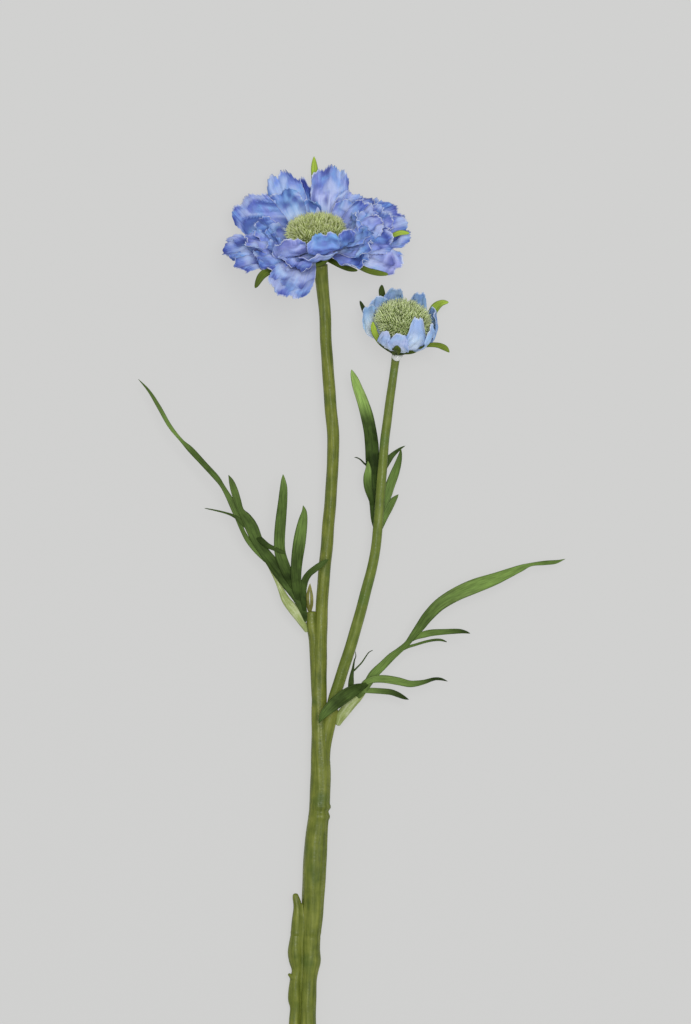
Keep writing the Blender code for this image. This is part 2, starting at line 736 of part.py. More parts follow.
def turned(head, profile, sides, grow=0.0):
    """A closed solid turned about a head's axis from its profile of radius and height."""
    turn = 2 * math.pi * np.arange(sides) / sides
    circle = np.column_stack([np.cos(turn), np.sin(turn)])
    rings = np.array([np.column_stack([(r + grow) * circle, np.full(sides, a)]) for r, a in profile])
    rings[0] -= (0.0, 0.0, grow)
    return ring_solid(placed(head, rings))


def petal_head(name, head, cushion, layers, head_disc, colour):
    """A disc and the petals that grow from it, layer by layer, as one solid."""
    shapes = [turned(head, head_disc, DISC_SIDES)]
    seed = FIRST_SEED
    for rows_of_petals, root, grid in layers:
        for row in rows_of_petals:
            shapes.append(petal(head, cushion, row, root, grid, seed))
            seed += 1
    return thinned(joined(name, shapes, colour), PETAL_FACE_SHARE)


def cushion_solid(name, head, cushion, colour):
    """A domed pincushion covered in short pointed tufts, one raised on each facet of a round solid."""
    bpy.ops.mesh.primitive_ico_sphere_add(subdivisions=3, radius=1.0)
    ball = bpy.context.object
    points = np.array([v.co[:] for v in ball.data.vertices])
    triangles = np.array([f.vertices[:] for f in ball.data.polygons])
    bpy.data.objects.remove(ball)
    power = CUSHION_POWER
    across = np.linalg.norm(points[:, :2], axis=1)
    size = (across**power + np.abs(points[:, 2]) ** power) ** (1 / power)
    shaped = points / size[:, None] * (cushion["radius"], cushion["radius"], cushion["half"])
    faces = []
    tips = []
    for a, b, c in triangles:
        middle = shaped[[a, b, c]].mean(axis=0)
        if middle[2] < CUSHION_BARE_BELOW * cushion["half"]:
            faces.append((a, b, c))
            continue
        outward = unit(np.cross(shaped[b] - shaped[a], shaped[c] - shaped[a]))
        tip = len(shaped) + len(tips)
        tips.append(middle + outward * cushion["tuft"])
        faces += [(a, b, tip), (b, c, tip), (c, a, tip)]
    own = np.vstack([shaped, tips]) + (0.0, 0.0, cushion["middle"])
    return joined(name, [(placed(head, own), faces)], colour)


def bract(head, row):
    """A narrow green bract under the petals, along an arc from the receptacle's rim."""
    azimuth, elbow_r, elbow_a, tip_r, tip_a, half_width = row
    s = np.linspace(0.0, 1.0, BRACT_ROWS)[:, None]
    line = np.array((BRACT_ROOT, (elbow_r, elbow_a), (tip_r, tip_a)), float)
    centre, _ = arc(line, s)
    start, reach = BRACT_WIDTH
    width = half_width * np.sin(math.pi * (start + reach * s)) + BRACT_LEAST_HALF
    u = np.array([[-1.0, 0.0, 1.0]])
    radial = centre[..., 0] + 0 * u
    height = centre[..., 1] + BRACT_KEEL * np.abs(u) * width
    own = swung(azimuth, radial, u * width, height)
    return sheet_solid(off_table(placed(head, own), BRACT_BLADE / 2), BRACT_BLADE)


def calyx(name, head, profile, rows_of_bracts, colour):
    """A head's receptacle, the green cup from its stem to its petals, with its ring of bracts."""
    shapes = [turned(head, profile, CALYX_SIDES)] + [bract(head, row) for row in rows_of_bracts]
    return joined(name, shapes, colour)


def glue_dab():
    """A flattened bead."""
    bpy.ops.mesh.primitive_ico_sphere_add(subdivisions=2, radius=1.0)
    ball = bpy.context.object
    points = np.array([v.co[:] for v in ball.data.vertices]) * GLUE_HALVES + GLUE_CENTRE
    faces = [tuple(f.vertices) for f in ball.data.polygons]
    bpy.data.objects.remove(ball)
    return points, faces


def build_stems():
    shapes = [
        tube(MAIN_STEM, MAIN_STEM_GRID, joints=STEM_JOINTS),
        tube(SIDE_STRAND, SIDE_STRAND_GRID),
        tube(SPUR, SPUR_GRID),
        tube(FORK, FORK_GRID),
        tube(LEAF_STUB, LEAF_STUB_GRID),
    ]
    main = joined("main_stem", shapes, "stem")
    carved(main, tube(SIDE_STEM, SIDE_STEM_GRID, grow=GAP))
    joined("side_stem", [tube(SIDE_STEM, SIDE_STEM_GRID)], "stem")


def build_leaves():
    for name, lobes in (("left_leaf", LEFT_LEAF), ("right_leaf", RIGHT_LEAF), ("upper_leaf", UPPER_LEAF)):
        joined(name, [lobe(route) for route in lobes.values()], "leaf")
    joined("axil_bud", [lobe(route) for route in AXIL_BUD.values()], "shoot")
    joined("left_leaf_stalk", [tube(LEFT_STALK, LEFT_STALK_GRID)], "stalk")
    joined("right_leaf_stalk", [tube(RIGHT_STALK, RIGHT_STALK_GRID)], "stalk")


def build_heads():
    bloom_layers = (
        (BLOOM_OUTER, OUTER_ROOT, OUTER_GRID),
        (BLOOM_MIDDLE, MIDDLE_ROOT, MIDDLE_GRID),
        (BLOOM_INNER, INNER_ROOT, INNER_GRID),
    )
    bud_layers = ((BUD_PETALS, BUD_ROOT, BUD_GRID),)
    petal_head("bloom_petals", BLOOM, BLOOM_CUSHION, bloom_layers, BLOOM_DISC, "bloom_blue")
    petal_head("bud_petals", BUD, BUD_CUSHION, bud_layers, BUD_DISC, "bud_blue")
    cushion_solid("bloom_cushion", BLOOM, BLOOM_CUSHION, "cushion_green")
    cushion_solid("bud_cushion", BUD, BUD_CUSHION, "cushion_green")
    calyx("bloom_calyx", BLOOM, BLOOM_CALYX, BLOOM_BRACTS, "bract")
    calyx("bud_calyx", BUD, BUD_CALYX, BUD_BRACTS, "bract")


def build_glue():
    """The dab, hollowed where it sits on the side stem and on the bud's receptacle."""
    dab = joined("glue_dab", [glue_dab()], "glue")
    carved(dab, tube(SIDE_STEM, SIDE_STEM_GRID, grow=GAP))
    carved(dab, turned(BUD, BUD_CALYX, CALYX_SIDES, grow=GAP))


def shade_all():
    """Smooth shading, kept sharp at the edges where faces meet steeply."""
    for thing in bpy.data.objects:
        thing.data.shade_smooth()
        thing.data.set_sharp_from_angle(angle=math.radians(SHARP_ANGLE))


clear_scene()
build_stems()
build_leaves()
build_heads()
build_glue()
shade_all()
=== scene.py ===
import math

import bpy
import numpy as np
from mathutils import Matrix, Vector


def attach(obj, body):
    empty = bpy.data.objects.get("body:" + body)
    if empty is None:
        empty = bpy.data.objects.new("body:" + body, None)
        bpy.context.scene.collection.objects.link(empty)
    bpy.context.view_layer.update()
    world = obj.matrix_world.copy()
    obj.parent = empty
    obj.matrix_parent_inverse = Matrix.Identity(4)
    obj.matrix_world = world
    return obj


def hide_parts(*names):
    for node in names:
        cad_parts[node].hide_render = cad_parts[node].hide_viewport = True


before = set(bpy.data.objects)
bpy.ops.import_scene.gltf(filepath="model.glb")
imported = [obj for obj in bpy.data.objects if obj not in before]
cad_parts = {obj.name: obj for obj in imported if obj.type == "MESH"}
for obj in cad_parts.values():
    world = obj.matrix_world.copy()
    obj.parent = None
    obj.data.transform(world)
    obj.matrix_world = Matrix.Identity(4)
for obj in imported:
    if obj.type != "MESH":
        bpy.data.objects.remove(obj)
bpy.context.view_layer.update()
print("frame:", len(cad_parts), "nodes")

# %% [markdown]
# Every length below is in millimetres, as on a drawing, and becomes metres when a mesh is made. A small
# bag of arrays stands for a surface until then: its points, its faces, the pattern coordinates of each
# face's corners, and the dye values that its material reads, some of which are painted light and shade.
# Bags can be joined, so that all petals of a layer are one piece. The photo shows 0.38 mm a pixel, as
# the bloom's 72 mm are 189 pixels, and one of its pixels is the origin.
# %% Surfaces as arrays
MM = 0.001
FLOOR_CLEAR = 0.02
MM_PER_PIXEL = 0.38
IMAGE_SIZE = (691, 1024)
ORIGIN_PIXEL = (351.5, 642.5)


def bag(points, quads, quad_uv, tris=None, tri_uv=None, dye=(0.0, 0.0, 0.0, 0.0)):
    """A surface: points in mm, faces with a pattern coordinate for each corner, and dye values for each
    point, with painted light and shade among them."""
    points = np.asarray(points, float).reshape(-1, 3)
    return {
        "points": points,
        "quads": np.asarray(quads, int).reshape(-1, 4),
        "quad_uv": np.asarray(quad_uv, float).reshape(-1, 4, 2),
        "tris": np.zeros((0, 3), int) if tris is None else np.asarray(tris, int),
        "tri_uv": np.zeros((0, 3, 2)) if tri_uv is None else np.asarray(tri_uv, float),
        "dye": np.broadcast_to(np.asarray(dye, float), (len(points), 4)).copy(),
    }


def joined(bags):
    """One bag of several, whose faces count on from the points before them."""
    starts = np.cumsum([0] + [len(b["points"]) for b in bags])
    return {
        "points": np.concatenate([b["points"] for b in bags]),
        "quads": np.concatenate([b["quads"] + s for b, s in zip(bags, starts)]),
        "quad_uv": np.concatenate([b["quad_uv"] for b in bags]),
        "tris": np.concatenate([b["tris"] + s for b, s in zip(bags, starts)]),
        "tri_uv": np.concatenate([b["tri_uv"] for b in bags]),
        "dye": np.concatenate([b["dye"] for b in bags]),
    }


def piece(name, surface, material, node=None):
    """Makes the object of a bag, rides it on the spray and lets it stand for its CAD node."""
    points = surface["points"].copy()
    points[:, 2] = np.maximum(points[:, 2], FLOOR_CLEAR)
    mesh = bpy.data.meshes.new(name)
    faces = surface["quads"].tolist() + surface["tris"].tolist()
    mesh.from_pydata((points * MM).tolist(), [], faces)
    uv = mesh.uv_layers.new(name="pattern")
    corners = np.concatenate([surface["quad_uv"].reshape(-1, 2), surface["tri_uv"].reshape(-1, 2)])
    uv.data.foreach_set("uv", corners.astype(np.float32).ravel())
    dye = mesh.color_attributes.new(name="dye", type="FLOAT_COLOR", domain="POINT")
    dye.data.foreach_set("color", surface["dye"].astype(np.float32).ravel())
    mesh.materials.append(material)
    mesh.shade_smooth()
    made = bpy.data.objects.new(name, mesh)
    bpy.context.scene.collection.objects.link(made)
    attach(made, "root")
    if node:
        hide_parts(node)
    print(f"{name}: {len(surface['quads']) * 2 + len(surface['tris'])} triangles")
    return made


# %% [markdown]
# Three kinds of surface make the whole spray. A strand is a round profile carried along a path, for
# stems. A blade is a thin closed sheet, for petals, leaves and bracts. A turned form is a profile
# carried round an axis. They all number a grid of points in the same way, so one function gives their
# faces.
# %% Grids, routes and directions
def grid_faces(rows, columns, closed):
    """Quads of a grid of points, with each corner's step across and along. closed joins its last column
    to its first."""
    spans = columns if closed else columns - 1
    i, j = np.meshgrid(np.arange(rows - 1), np.arange(spans), indexing="ij")
    i, j = i.ravel(), j.ravel()
    along = np.stack([i, i, i + 1, i + 1], axis=1)
    across = np.stack([j, j + 1, j + 1, j], axis=1)
    return along * columns + across % columns, across, along


def pole_faces(rows, columns):
    """Triangles that close both ends of a ring-shaped grid on two more points, which come after the
    grid's own."""
    first, last, count = np.arange(columns), np.arange(columns) + (rows - 1) * columns, rows * columns
    start = np.column_stack([np.full(columns, count), np.roll(first, -1), first])
    return np.concatenate([start, np.column_stack([np.full(columns, count + 1), last, np.roll(last, -1)])])


def unit(vectors):
    """Vectors divided by their lengths."""
    vectors = np.asarray(vectors, float)
    return vectors / np.maximum(np.linalg.norm(vectors, axis=-1, keepdims=True), 1e-9)


def smooth_route(points, count):
    """A Catmull-Rom curve through the points, read at even steps of its length. Between b and c it is (2b
    + (c-a)t + (2a-5b+4c-d)t^2 + (3b-3c+d-a)t^3) / 2, with a and d the points outside."""
    p = np.asarray(points, float)
    p = np.vstack([2 * p[0] - p[1], p, 2 * p[-1] - p[-2]])
    t = np.linspace(0.0, 1.0, 16, endpoint=False)[:, None]
    spans = [
        0.5 * (2 * b + (c - a) * t + (2 * a - 5 * b + 4 * c - d) * t**2 + (3 * b - 3 * c + d - a) * t**3)
        for a, b, c, d in zip(p, p[1:], p[2:], p[3:])
    ]
    fine = np.vstack(spans + [p[-2:-1]])
    along = np.r_[0.0, np.cumsum(np.linalg.norm(np.diff(fine[:, :3], axis=0), axis=1))]
    wanted = np.linspace(0.0, along[-1], count)
    return np.column_stack([np.interp(wanted, along, column) for column in fine.T]), wanted


def side_and_normal(centres):
    """Unit vectors across a route, level with the table, and square to both it and the route."""
    tangents = unit(np.gradient(centres, axis=0))
    side = unit(np.cross(tangents, (0.0, 0.0, 1.0)))
    return tangents, side, unit(np.cross(side, tangents))


# %% [markdown]
# The stems look dipped in soft plastic. Dipping leaves shallow flutes along the stem, faint lumps, and
# swollen rings where two mouldings meet. So the profile is a circle whose radius swings in and out a
# little with the turn round it, and the swing drifts along the path. Its ends are domed, as a dipped
# end is.
# %% Strands
def strand(route, rows, columns, flutes=0, depth=0.0, lumps=0.0, rings=(), dome=0.35, seed=1):
    """A fluted tube. Its radius is r(s) + depth (r / widest)^2 cos(flutes * turn + drift(s)) + slow waves
    + rings, each ring being height * exp(-((y - place) / width)^2), strongest at the turn that it
    faces."""
    line, along = smooth_route(route, rows)
    centres, radii = line[:, :3], line[:, 3]
    draw = np.random.default_rng(seed)
    tangents, side, normal = side_and_normal(centres)
    turn = 2 * math.pi * (np.arange(columns) + 0.5) / columns
    phase = draw.uniform(0, 2 * math.pi, 6)
    s = along[:, None]
    radius = radii[:, None] + 0.0 * turn
    drift = 0.02 * s + 0.8 * np.sin(s / 37.0 + phase[0])
    strength = 0.65 + 0.35 * np.sin(s / 23.0 + phase[1] + 2 * turn)
    radius += depth * (radii[:, None] / radii.max()) ** 2 * strength * np.cos(flutes * turn + drift)
    radius += lumps * np.sin(s / 5.1 + phase[2] + turn) * np.sin(s / 13.7 + phase[3] - 2 * turn)
    radius += 0.5 * lumps * np.sin(s / 2.3 + phase[4] + 3 * turn)
    for place, width, height, facing in rings:
        lip = np.exp(-(((centres[:, 1] - place) / width) ** 2))[:, None]
        radius += height * lip * (0.5 + 0.5 * np.cos(turn - facing)) ** 1.5
    circle = -np.sin(turn)[:, None] * side[:, None] - np.cos(turn)[:, None] * normal[:, None]
    tube = centres[:, None] + radius[..., None] * circle
    angle = np.linspace(0.0, math.pi / 2, 6)[1:-1]
    caps = []
    for end, way in ((0, -1.0), (-1, 1.0)):
        ring = tube[end] - centres[end]
        cap = (
            centres[end]
            + np.cos(angle)[:, None, None] * ring
            + way * dome * radii[end] * np.sin(angle)[:, None, None] * tangents[end]
        )
        caps.append(cap[::-1] if way < 0 else cap)
    points = np.concatenate([caps[0], tube, caps[1]])
    lengths = np.concatenate([np.linspace(-0.5, 0.0, 4), along, along[-1] + np.linspace(0.0, 0.5, 4)])
    total = len(points)
    quads, across, lengthwise = grid_faces(total, columns, closed=True)
    girth = 2 * math.pi * radii.mean()
    quad_uv = np.stack([across * girth / columns, lengths[lengthwise]], axis=-1)
    tips = [centres[0] - dome * radii[0] * tangents[0], centres[-1] + dome * radii[-1] * tangents[-1]]
    tris = pole_faces(total, columns)
    tri_uv = np.zeros((len(tris), 3, 2))
    tri_uv[columns:, :, 1] = along[-1] + 0.5
    return bag(np.concatenate([points.reshape(-1, 3), tips]), quads, quad_uv, tris, tri_uv)


# %% [markdown]
# A blade is a sheet of cloth or pressed plastic. Its middle surface is a grid, and two faces lie half a
# thickness to each side, joined by a narrow rim, so the mesh is closed and has real edges in the
# render.
# %% Blades
def blade(middle, half_thickness, uv, dye):
    """A closed thin sheet about a grid of points (rows, columns, 3). Both faces are the middle plus or
    minus half_thickness times its unit normal, and a rim of quads joins them."""
    rows, columns, _ = middle.shape
    normal = unit(np.cross(np.gradient(middle, axis=1), np.gradient(middle, axis=0)))
    offset = normal * np.broadcast_to(half_thickness, (rows, columns))[..., None]
    size = rows * columns
    quads, across, along = grid_faces(rows, columns, closed=False)
    back = quads[:, ::-1] + size
    rim = np.concatenate([
        np.arange(columns),
        np.arange(1, rows) * columns + columns - 1,
        (rows - 1) * columns + np.arange(columns - 2, -1, -1),
        np.arange(rows - 2, 0, -1) * columns,
    ])
    ahead = np.roll(rim, -1)
    edge = np.column_stack([ahead, rim, rim + size, ahead + size])
    flat_uv = np.broadcast_to(uv, (rows, columns, 2)).reshape(-1, 2)
    quad_uv = np.concatenate([flat_uv[quads], flat_uv[quads[:, ::-1]], flat_uv[edge % size]])
    dye = np.broadcast_to(dye, (rows, columns, 4)).reshape(-1, 4)
    points = np.concatenate([(middle + offset).reshape(-1, 3), (middle - offset).reshape(-1, 3)])
    return bag(points, np.concatenate([quads, back, edge]), quad_uv, dye=np.concatenate([dye, dye]))


# %% [markdown]
# The colours are written as the hex values that a painter would mix, and one function turns them to the
# linear numbers that Blender works in. A second small function adds a shader node with its settings and
# links.
# %% Colours and nodes
def linear(code):
    """The linear colour of an sRGB hex value: v / 12.92 below 0.04045, else ((v + 0.055) / 1.055) ^
    2.4."""
    values = np.array([int(code[i : i + 2], 16) for i in (1, 3, 5)]) / 255
    return (*np.where(values <= 0.04045, values / 12.92, ((values + 0.055) / 1.055) ** 2.4), 1.0)


def add(tree, kind, sockets=(), stops=(), **settings):
    """Adds a node: its settings, its input sockets as values or as sockets to link, and its ramp's
    stops."""
    made = tree.nodes.new(kind)
    for name, value in settings.items():
        setattr(made, name, value)
    for key, value in dict(sockets).items():
        if isinstance(value, bpy.types.NodeSocket):
            tree.links.new(value, made.inputs[key])
        else:
            made.inputs[key].default_value = value
    if stops:
        elements = made.color_ramp.elements
        while len(elements) < len(stops):
            elements.new(0.5)
        for element, (place, value) in zip(elements, stops):
            element.position = place
            element.color = value if len(value) == 4 else (*value, 1.0)
    return made


def shader_of(name, roughness, **constants):
    """A material with one Principled shader. The constants are set straight on its sockets."""
    made = bpy.data.materials.new(name)
    made.use_nodes = True
    shader = made.node_tree.nodes["Principled BSDF"]
    shader.inputs["Roughness"].default_value = roughness
    for key, value in constants.items():
        shader.inputs[key.replace("_", " ")].default_value = value
    return made, made.node_tree, shader


MIX_FACTOR, MIX_A, MIX_B, MIX_OUT = 0, 6, 7, 2


def coordinates(tree):
    """What the patterns are drawn on: a face's own pattern coordinates, its dye values with the petals'
    painted fold shading as the fourth, and its place in metres."""
    uv = add(tree, "ShaderNodeUVMap", uv_map="pattern").outputs["UV"]
    attribute = add(tree, "ShaderNodeAttribute", attribute_name="dye").outputs
    dyes_and_shading = dict(add(tree, "ShaderNodeSeparateColor", {"Color": attribute["Color"]}).outputs)
    # The fourth value is painted fold shading: low values paint highlight on a fold's crest, high values
    # paint shade in its pit.
    dyes_and_shading["Hollow"] = attribute["Alpha"]
    where = add(tree, "ShaderNodeTexCoord").outputs["Object"]
    return uv, dyes_and_shading, where


print("green of a stem:", [round(v, 3) for v in linear("#69742E")[:3]])

# %% [markdown]
# ## The dipped stem
# The stem is made as if dipped in olive PVC. Dipping gives a satin skin with small glossy beads. Streaks
# along the stem run from a dark green through a middle green to a light one: uneven tone, with painted
# shade and painted highlight standing in for the light and shade of the flutes. The pattern is drawn in
# millimetres round and along the stem, squeezed 14 times lengthways, so that it streaks.
# %% Material: dipped PVC
STREAK_MM = 0.9
STREAK_STRETCH = 14.0
BLOTCH_MM = 7.0
BEAD_MM = 0.7


def dipped_pvc(name, dark, middle, highlight_tone, mottle):
    """Olive PVC: noise stretched along the stem picks the colour between a dark green and a light tone,
    partly painted shade and highlight, and a finer noise the gloss and the bump."""
    made, tree, shader = shader_of(name, 0.38, Specular_IOR_Level=0.28, Coat_Weight=0.05, Coat_Roughness=0.22)
    uv, dyes_and_shading, where = coordinates(tree)
    squeezed = {"Vector": uv, "Scale": (1.0, 1.0 / STREAK_STRETCH, 1.0)}
    streaked = add(tree, "ShaderNodeMapping", squeezed).outputs[0]
    noise = {"Vector": streaked, "Scale": 1 / STREAK_MM, "Detail": 4.0, "Roughness": 0.6}
    streak = add(tree, "ShaderNodeTexNoise", noise).outputs["Fac"]
    noise = {"Vector": uv, "Scale": 1 / BLOTCH_MM, "Detail": 3.0, "Roughness": 0.55}
    blotch = add(tree, "ShaderNodeTexNoise", noise).outputs["Fac"]
    # From a dark green, partly painted shade, to a light tone that is a painted highlight.
    stops = (0.34, linear(dark)), (0.5, linear(middle)), (0.68, linear(highlight_tone))
    colour = add(tree, "ShaderNodeValToRGB", {"Fac": streak}, stops).outputs["Color"]
    blotch_colour = add(tree, "ShaderNodeValToRGB", {"Fac": blotch}, stops).outputs["Color"]
    bruise = add(tree, "ShaderNodeTexNoise", {"Vector": where, "Scale": 70.0, "Detail": 4.0}).outputs["Fac"]
    share = {"Value": bruise, "From Min": 0.55, "From Max": 0.68, "To Max": 0.5}
    bruised = add(tree, "ShaderNodeMapRange", share)
    for amount, paint in ((0.45, blotch_colour), (bruised.outputs[0], linear(mottle))):
        sockets = {MIX_FACTOR: amount, MIX_A: colour, MIX_B: paint}
        colour = add(tree, "ShaderNodeMix", sockets, data_type="RGBA").outputs[MIX_OUT]
    tree.links.new(colour, shader.inputs["Base Color"])
    bead = add(tree, "ShaderNodeTexNoise", {"Vector": uv, "Scale": 1 / BEAD_MM, "Detail": 2.0}).outputs["Fac"]
    gloss_stops = (0.36, (0.34,) * 3), (0.60, (0.62,) * 3)
    gloss = add(tree, "ShaderNodeValToRGB", {"Fac": bead}, gloss_stops)
    tree.links.new(gloss.outputs["Color"], shader.inputs["Roughness"])
    height = add(tree, "ShaderNodeMix", {0: 0.45, 2: streak, 3: bead}).outputs[0]
    bump = add(tree, "ShaderNodeBump", {"Height": height, "Strength": 0.5, "Distance": 0.0004})
    tree.links.new(bump.outputs["Normal"], shader.inputs["Normal"])
    return made


# Each green's light stop is a painted highlight and its dark stop partly painted shade.
stem_pvc = dipped_pvc("dipped PVC stem", "#4C581A", "#6A7428", "#878D3E", "#3C561E")
side_pvc = dipped_pvc("dipped PVC side stem", "#506024", "#67762C", "#7F8A42", "#3C6228")
sheath_pvc = dipped_pvc("dipped PVC leaf stalk", "#7C8A44", "#9AA864", "#DCE0C0", "#7F9048")
shoot_pvc = dipped_pvc("dipped PVC shoot", "#454A16", "#77762A", "#B4B068", "#5A5A1C")
print("stem materials:", stem_pvc.name, side_pvc.name, sheath_pvc.name, shoot_pvc.name)

# %% [markdown]
# ## Printed petal cloth
# The petals are polyester satin, printed blue, cut with a pinked die and crumpled in a hot press. The
# print runs from a pale throat through sky blue and periwinkle to violet at the teeth, with soft blots
# and fine veins that fan out from the root. The cut edge shows the white cloth, with a painted
# highlight in patches. Over the print, painted highlight lies on the crests of the folds and painted
# shade in their pits and over the lower half of the deeper petals. Each petal has its own dye: how
# lilac, how pale and how deep it is, and how deep also sets how much painted shade it takes. Threads
# 0.12 mm apart are too fine to show, so the weave is drawn at 0.4 mm.
# %% Material: petal cloth
WEAVE_MM = 0.4
BLOT_MM = 8.0
VEINS = 26.0
WAVE_NODE_STRIPES = 20 / (2 * math.pi)
# The white cut edge, with a painted highlight where the edges catch the light.
WHITE_CUT_EDGE_AND_HIGHLIGHT = "#DDE3F2"


def petal_cloth(name, sky, periwinkle, lilac, pale, deep, throat, shadow):
    """Printed satin: sky blue under ten layers, each as strong as the product of the masks that it names.
    Six are print, three are painted light and shade in the folds and towards the root, and the last is
    the white cut edge with a painted highlight. A mask says how far a value is from low to high, as 0 to
    top, in even or smooth steps."""
    gloss = {"Sheen_Weight": 0.10, "Sheen_Roughness": 0.5, "Specular_IOR_Level": 0.25}
    made, tree, shader = shader_of(name, 0.65, **gloss)
    uv, dyes_and_shading, where = coordinates(tree)
    place = add(tree, "ShaderNodeSeparateXYZ", {"Vector": uv}).outputs
    along = place["Y"]
    noise = {"Vector": where, "Scale": 1000 / BLOT_MM, "Detail": 3.0, "Roughness": 0.55, "Distortion": 0.6}
    blot = add(tree, "ShaderNodeTexNoise", noise).outputs["Color"]
    blots = add(tree, "ShaderNodeSeparateColor", {"Color": blot}).outputs
    fanned = add(tree, "ShaderNodeMapping", {"Vector": uv, "Scale": (VEINS, 1.8, 1.0)}).outputs[0]
    noise = {"Vector": fanned, "Scale": 1.0, "Detail": 4.0, "Roughness": 0.65}
    vein = add(tree, "ShaderNodeTexNoise", noise).outputs["Fac"]
    off_middle = add(tree, "ShaderNodeMath", {0: place["X"], 1: 0.5}, operation="SUBTRACT").outputs[0]
    off_middle = add(tree, "ShaderNodeMath", {0: off_middle}, operation="ABSOLUTE").outputs[0]
    masks = {"lilac dye": dyes_and_shading["Red"], "pale dye": dyes_and_shading["Green"], "deep dye and shade": dyes_and_shading["Blue"]}
    for mask, value, low, high, top, steps in (
        ("sides", off_middle, 0.36, 0.52, 1.0, "LINEAR"),
        ("tip", along, 0.66, 1.02, 1.0, "LINEAR"),
        ("cut sides", off_middle, 0.484, 0.498, 1.0, "LINEAR"),
        ("cut tip", along, 0.972, 0.995, 1.0, "LINEAR"),
        ("first blots", blots["Red"], 0.42, 0.60, 1.0, "LINEAR"),
        ("second blots", blots["Green"], 0.36, 0.60, 1.0, "LINEAR"),
        ("third blots", blots["Blue"], 0.52, 0.66, 0.45, "LINEAR"),
        # Patches of the edge that get the pale edge colour, a painted highlight among them.
        ("edge highlight patches", blots["Red"], 0.44, 0.52, 0.7, "LINEAR"),
        ("wide veins", vein, 0.25, 0.6, 1.0, "LINEAR"),
        ("veins", vein, 0.3, 0.6, 1.0, "LINEAR"),
        # Painted highlight on the crests of the folds and painted shade in their pits.
        ("painted crest highlight", dyes_and_shading["Hollow"], 0.40, 0.0, 0.35, "LINEAR"),
        ("painted pit shade", dyes_and_shading["Hollow"], 0.60, 1.0, 0.7, "LINEAR"),
        ("body", along, 0.98, 0.4, 1.0, "SMOOTHSTEP"),
        # Painted shade over the lower half of the petal, towards its root.
        ("painted lower shade", along, 0.70, 0.30, 0.85, "SMOOTHSTEP"),
        ("root", along, 0.42, 0.10, 1.0, "SMOOTHSTEP"),
    ):
        sockets = {"Value": value, "From Min": low, "From Max": high, "To Max": top}
        masks[mask] = add(tree, "ShaderNodeMapRange", sockets, interpolation_type=steps).outputs[0]
    for mask, side, tip in (("border", "sides", "tip"), ("cut", "cut sides", "cut tip")):
        sockets = {0: masks[side], 1: masks[tip]}
        masks[mask] = add(tree, "ShaderNodeMath", sockets, operation="MAXIMUM").outputs[0]
    colour = linear(sky)
    for paint, first, *others in (
        (periwinkle, "first blots"),
        (lilac, "lilac dye", "second blots"),
        (pale, "body", "pale dye", "wide veins"),
        (deep, "third blots", "veins"),
        (deep, "border", "veins", "deep dye and shade"),
        # Painted highlight on the fold crests and painted shade in the fold pits.
        (pale, "painted crest highlight"),
        (shadow, "painted pit shade"),
        # Painted shade over the lower half of deep petals, where they sink into the bloom.
        (shadow, "painted lower shade", "deep dye and shade"),
        (throat, "root", "pale dye"),
        # White cut edge, partly a painted highlight.
        (WHITE_CUT_EDGE_AND_HIGHLIGHT, "cut", "edge highlight patches"),
    ):
        amount = masks[first]
        for other in others:
            sockets = {0: amount, 1: masks[other]}
            amount = add(tree, "ShaderNodeMath", sockets, operation="MULTIPLY", use_clamp=True).outputs[0]
        sockets = {MIX_FACTOR: amount, MIX_A: colour, MIX_B: linear(paint)}
        colour = add(tree, "ShaderNodeMix", sockets, data_type="RGBA").outputs[MIX_OUT]
    tree.links.new(colour, shader.inputs["Base Color"])
    stripes = 1000 / WEAVE_MM / WAVE_NODE_STRIPES / (2 * math.pi)
    threads = {"Vector": where, "Scale": stripes, "Distortion": 1.0}
    weave = add(tree, "ShaderNodeTexWave", threads).outputs["Fac"]
    height = add(tree, "ShaderNodeMix", {0: 0.8, 2: weave, 3: vein}).outputs[0]
    bump = add(tree, "ShaderNodeBump", {"Height": height, "Strength": 0.35, "Distance": 0.0003})
    tree.links.new(bump.outputs["Normal"], shader.inputs["Normal"])
    return made


bloom_cloth = petal_cloth(
    "printed and shade-painted petal cloth", "#7FB2EC", "#7F96E2", "#AEB2EC", "#D8E4FA", "#424EA8", "#D8E8F2", "#303E94"
)
bud_cloth = petal_cloth(
    "printed and shade-painted petal cloth pale", "#A4CCF2", "#9CBEEE", "#C4CAF0", "#EEF5FD", "#4C74C0", "#E0ECEE", "#6088C0"
)
print("petal materials:", bloom_cloth.name, bud_cloth.name)

# %% [markdown]
# ## Pressed leaf
# A leaf is cloth laminated with a soft plastic, pressed with a midrib and fine veins along each lobe,
# and air brushed: dark at the root and along the edge. Fresh yellow green is air brushed and is also a
# painted highlight where the leaf catches the light. The first dye value says how much of it there is,
# the second how pale, as along the edge next to the sheath.
# %% Material: pressed leaf
VEINS_ACROSS = 9.0


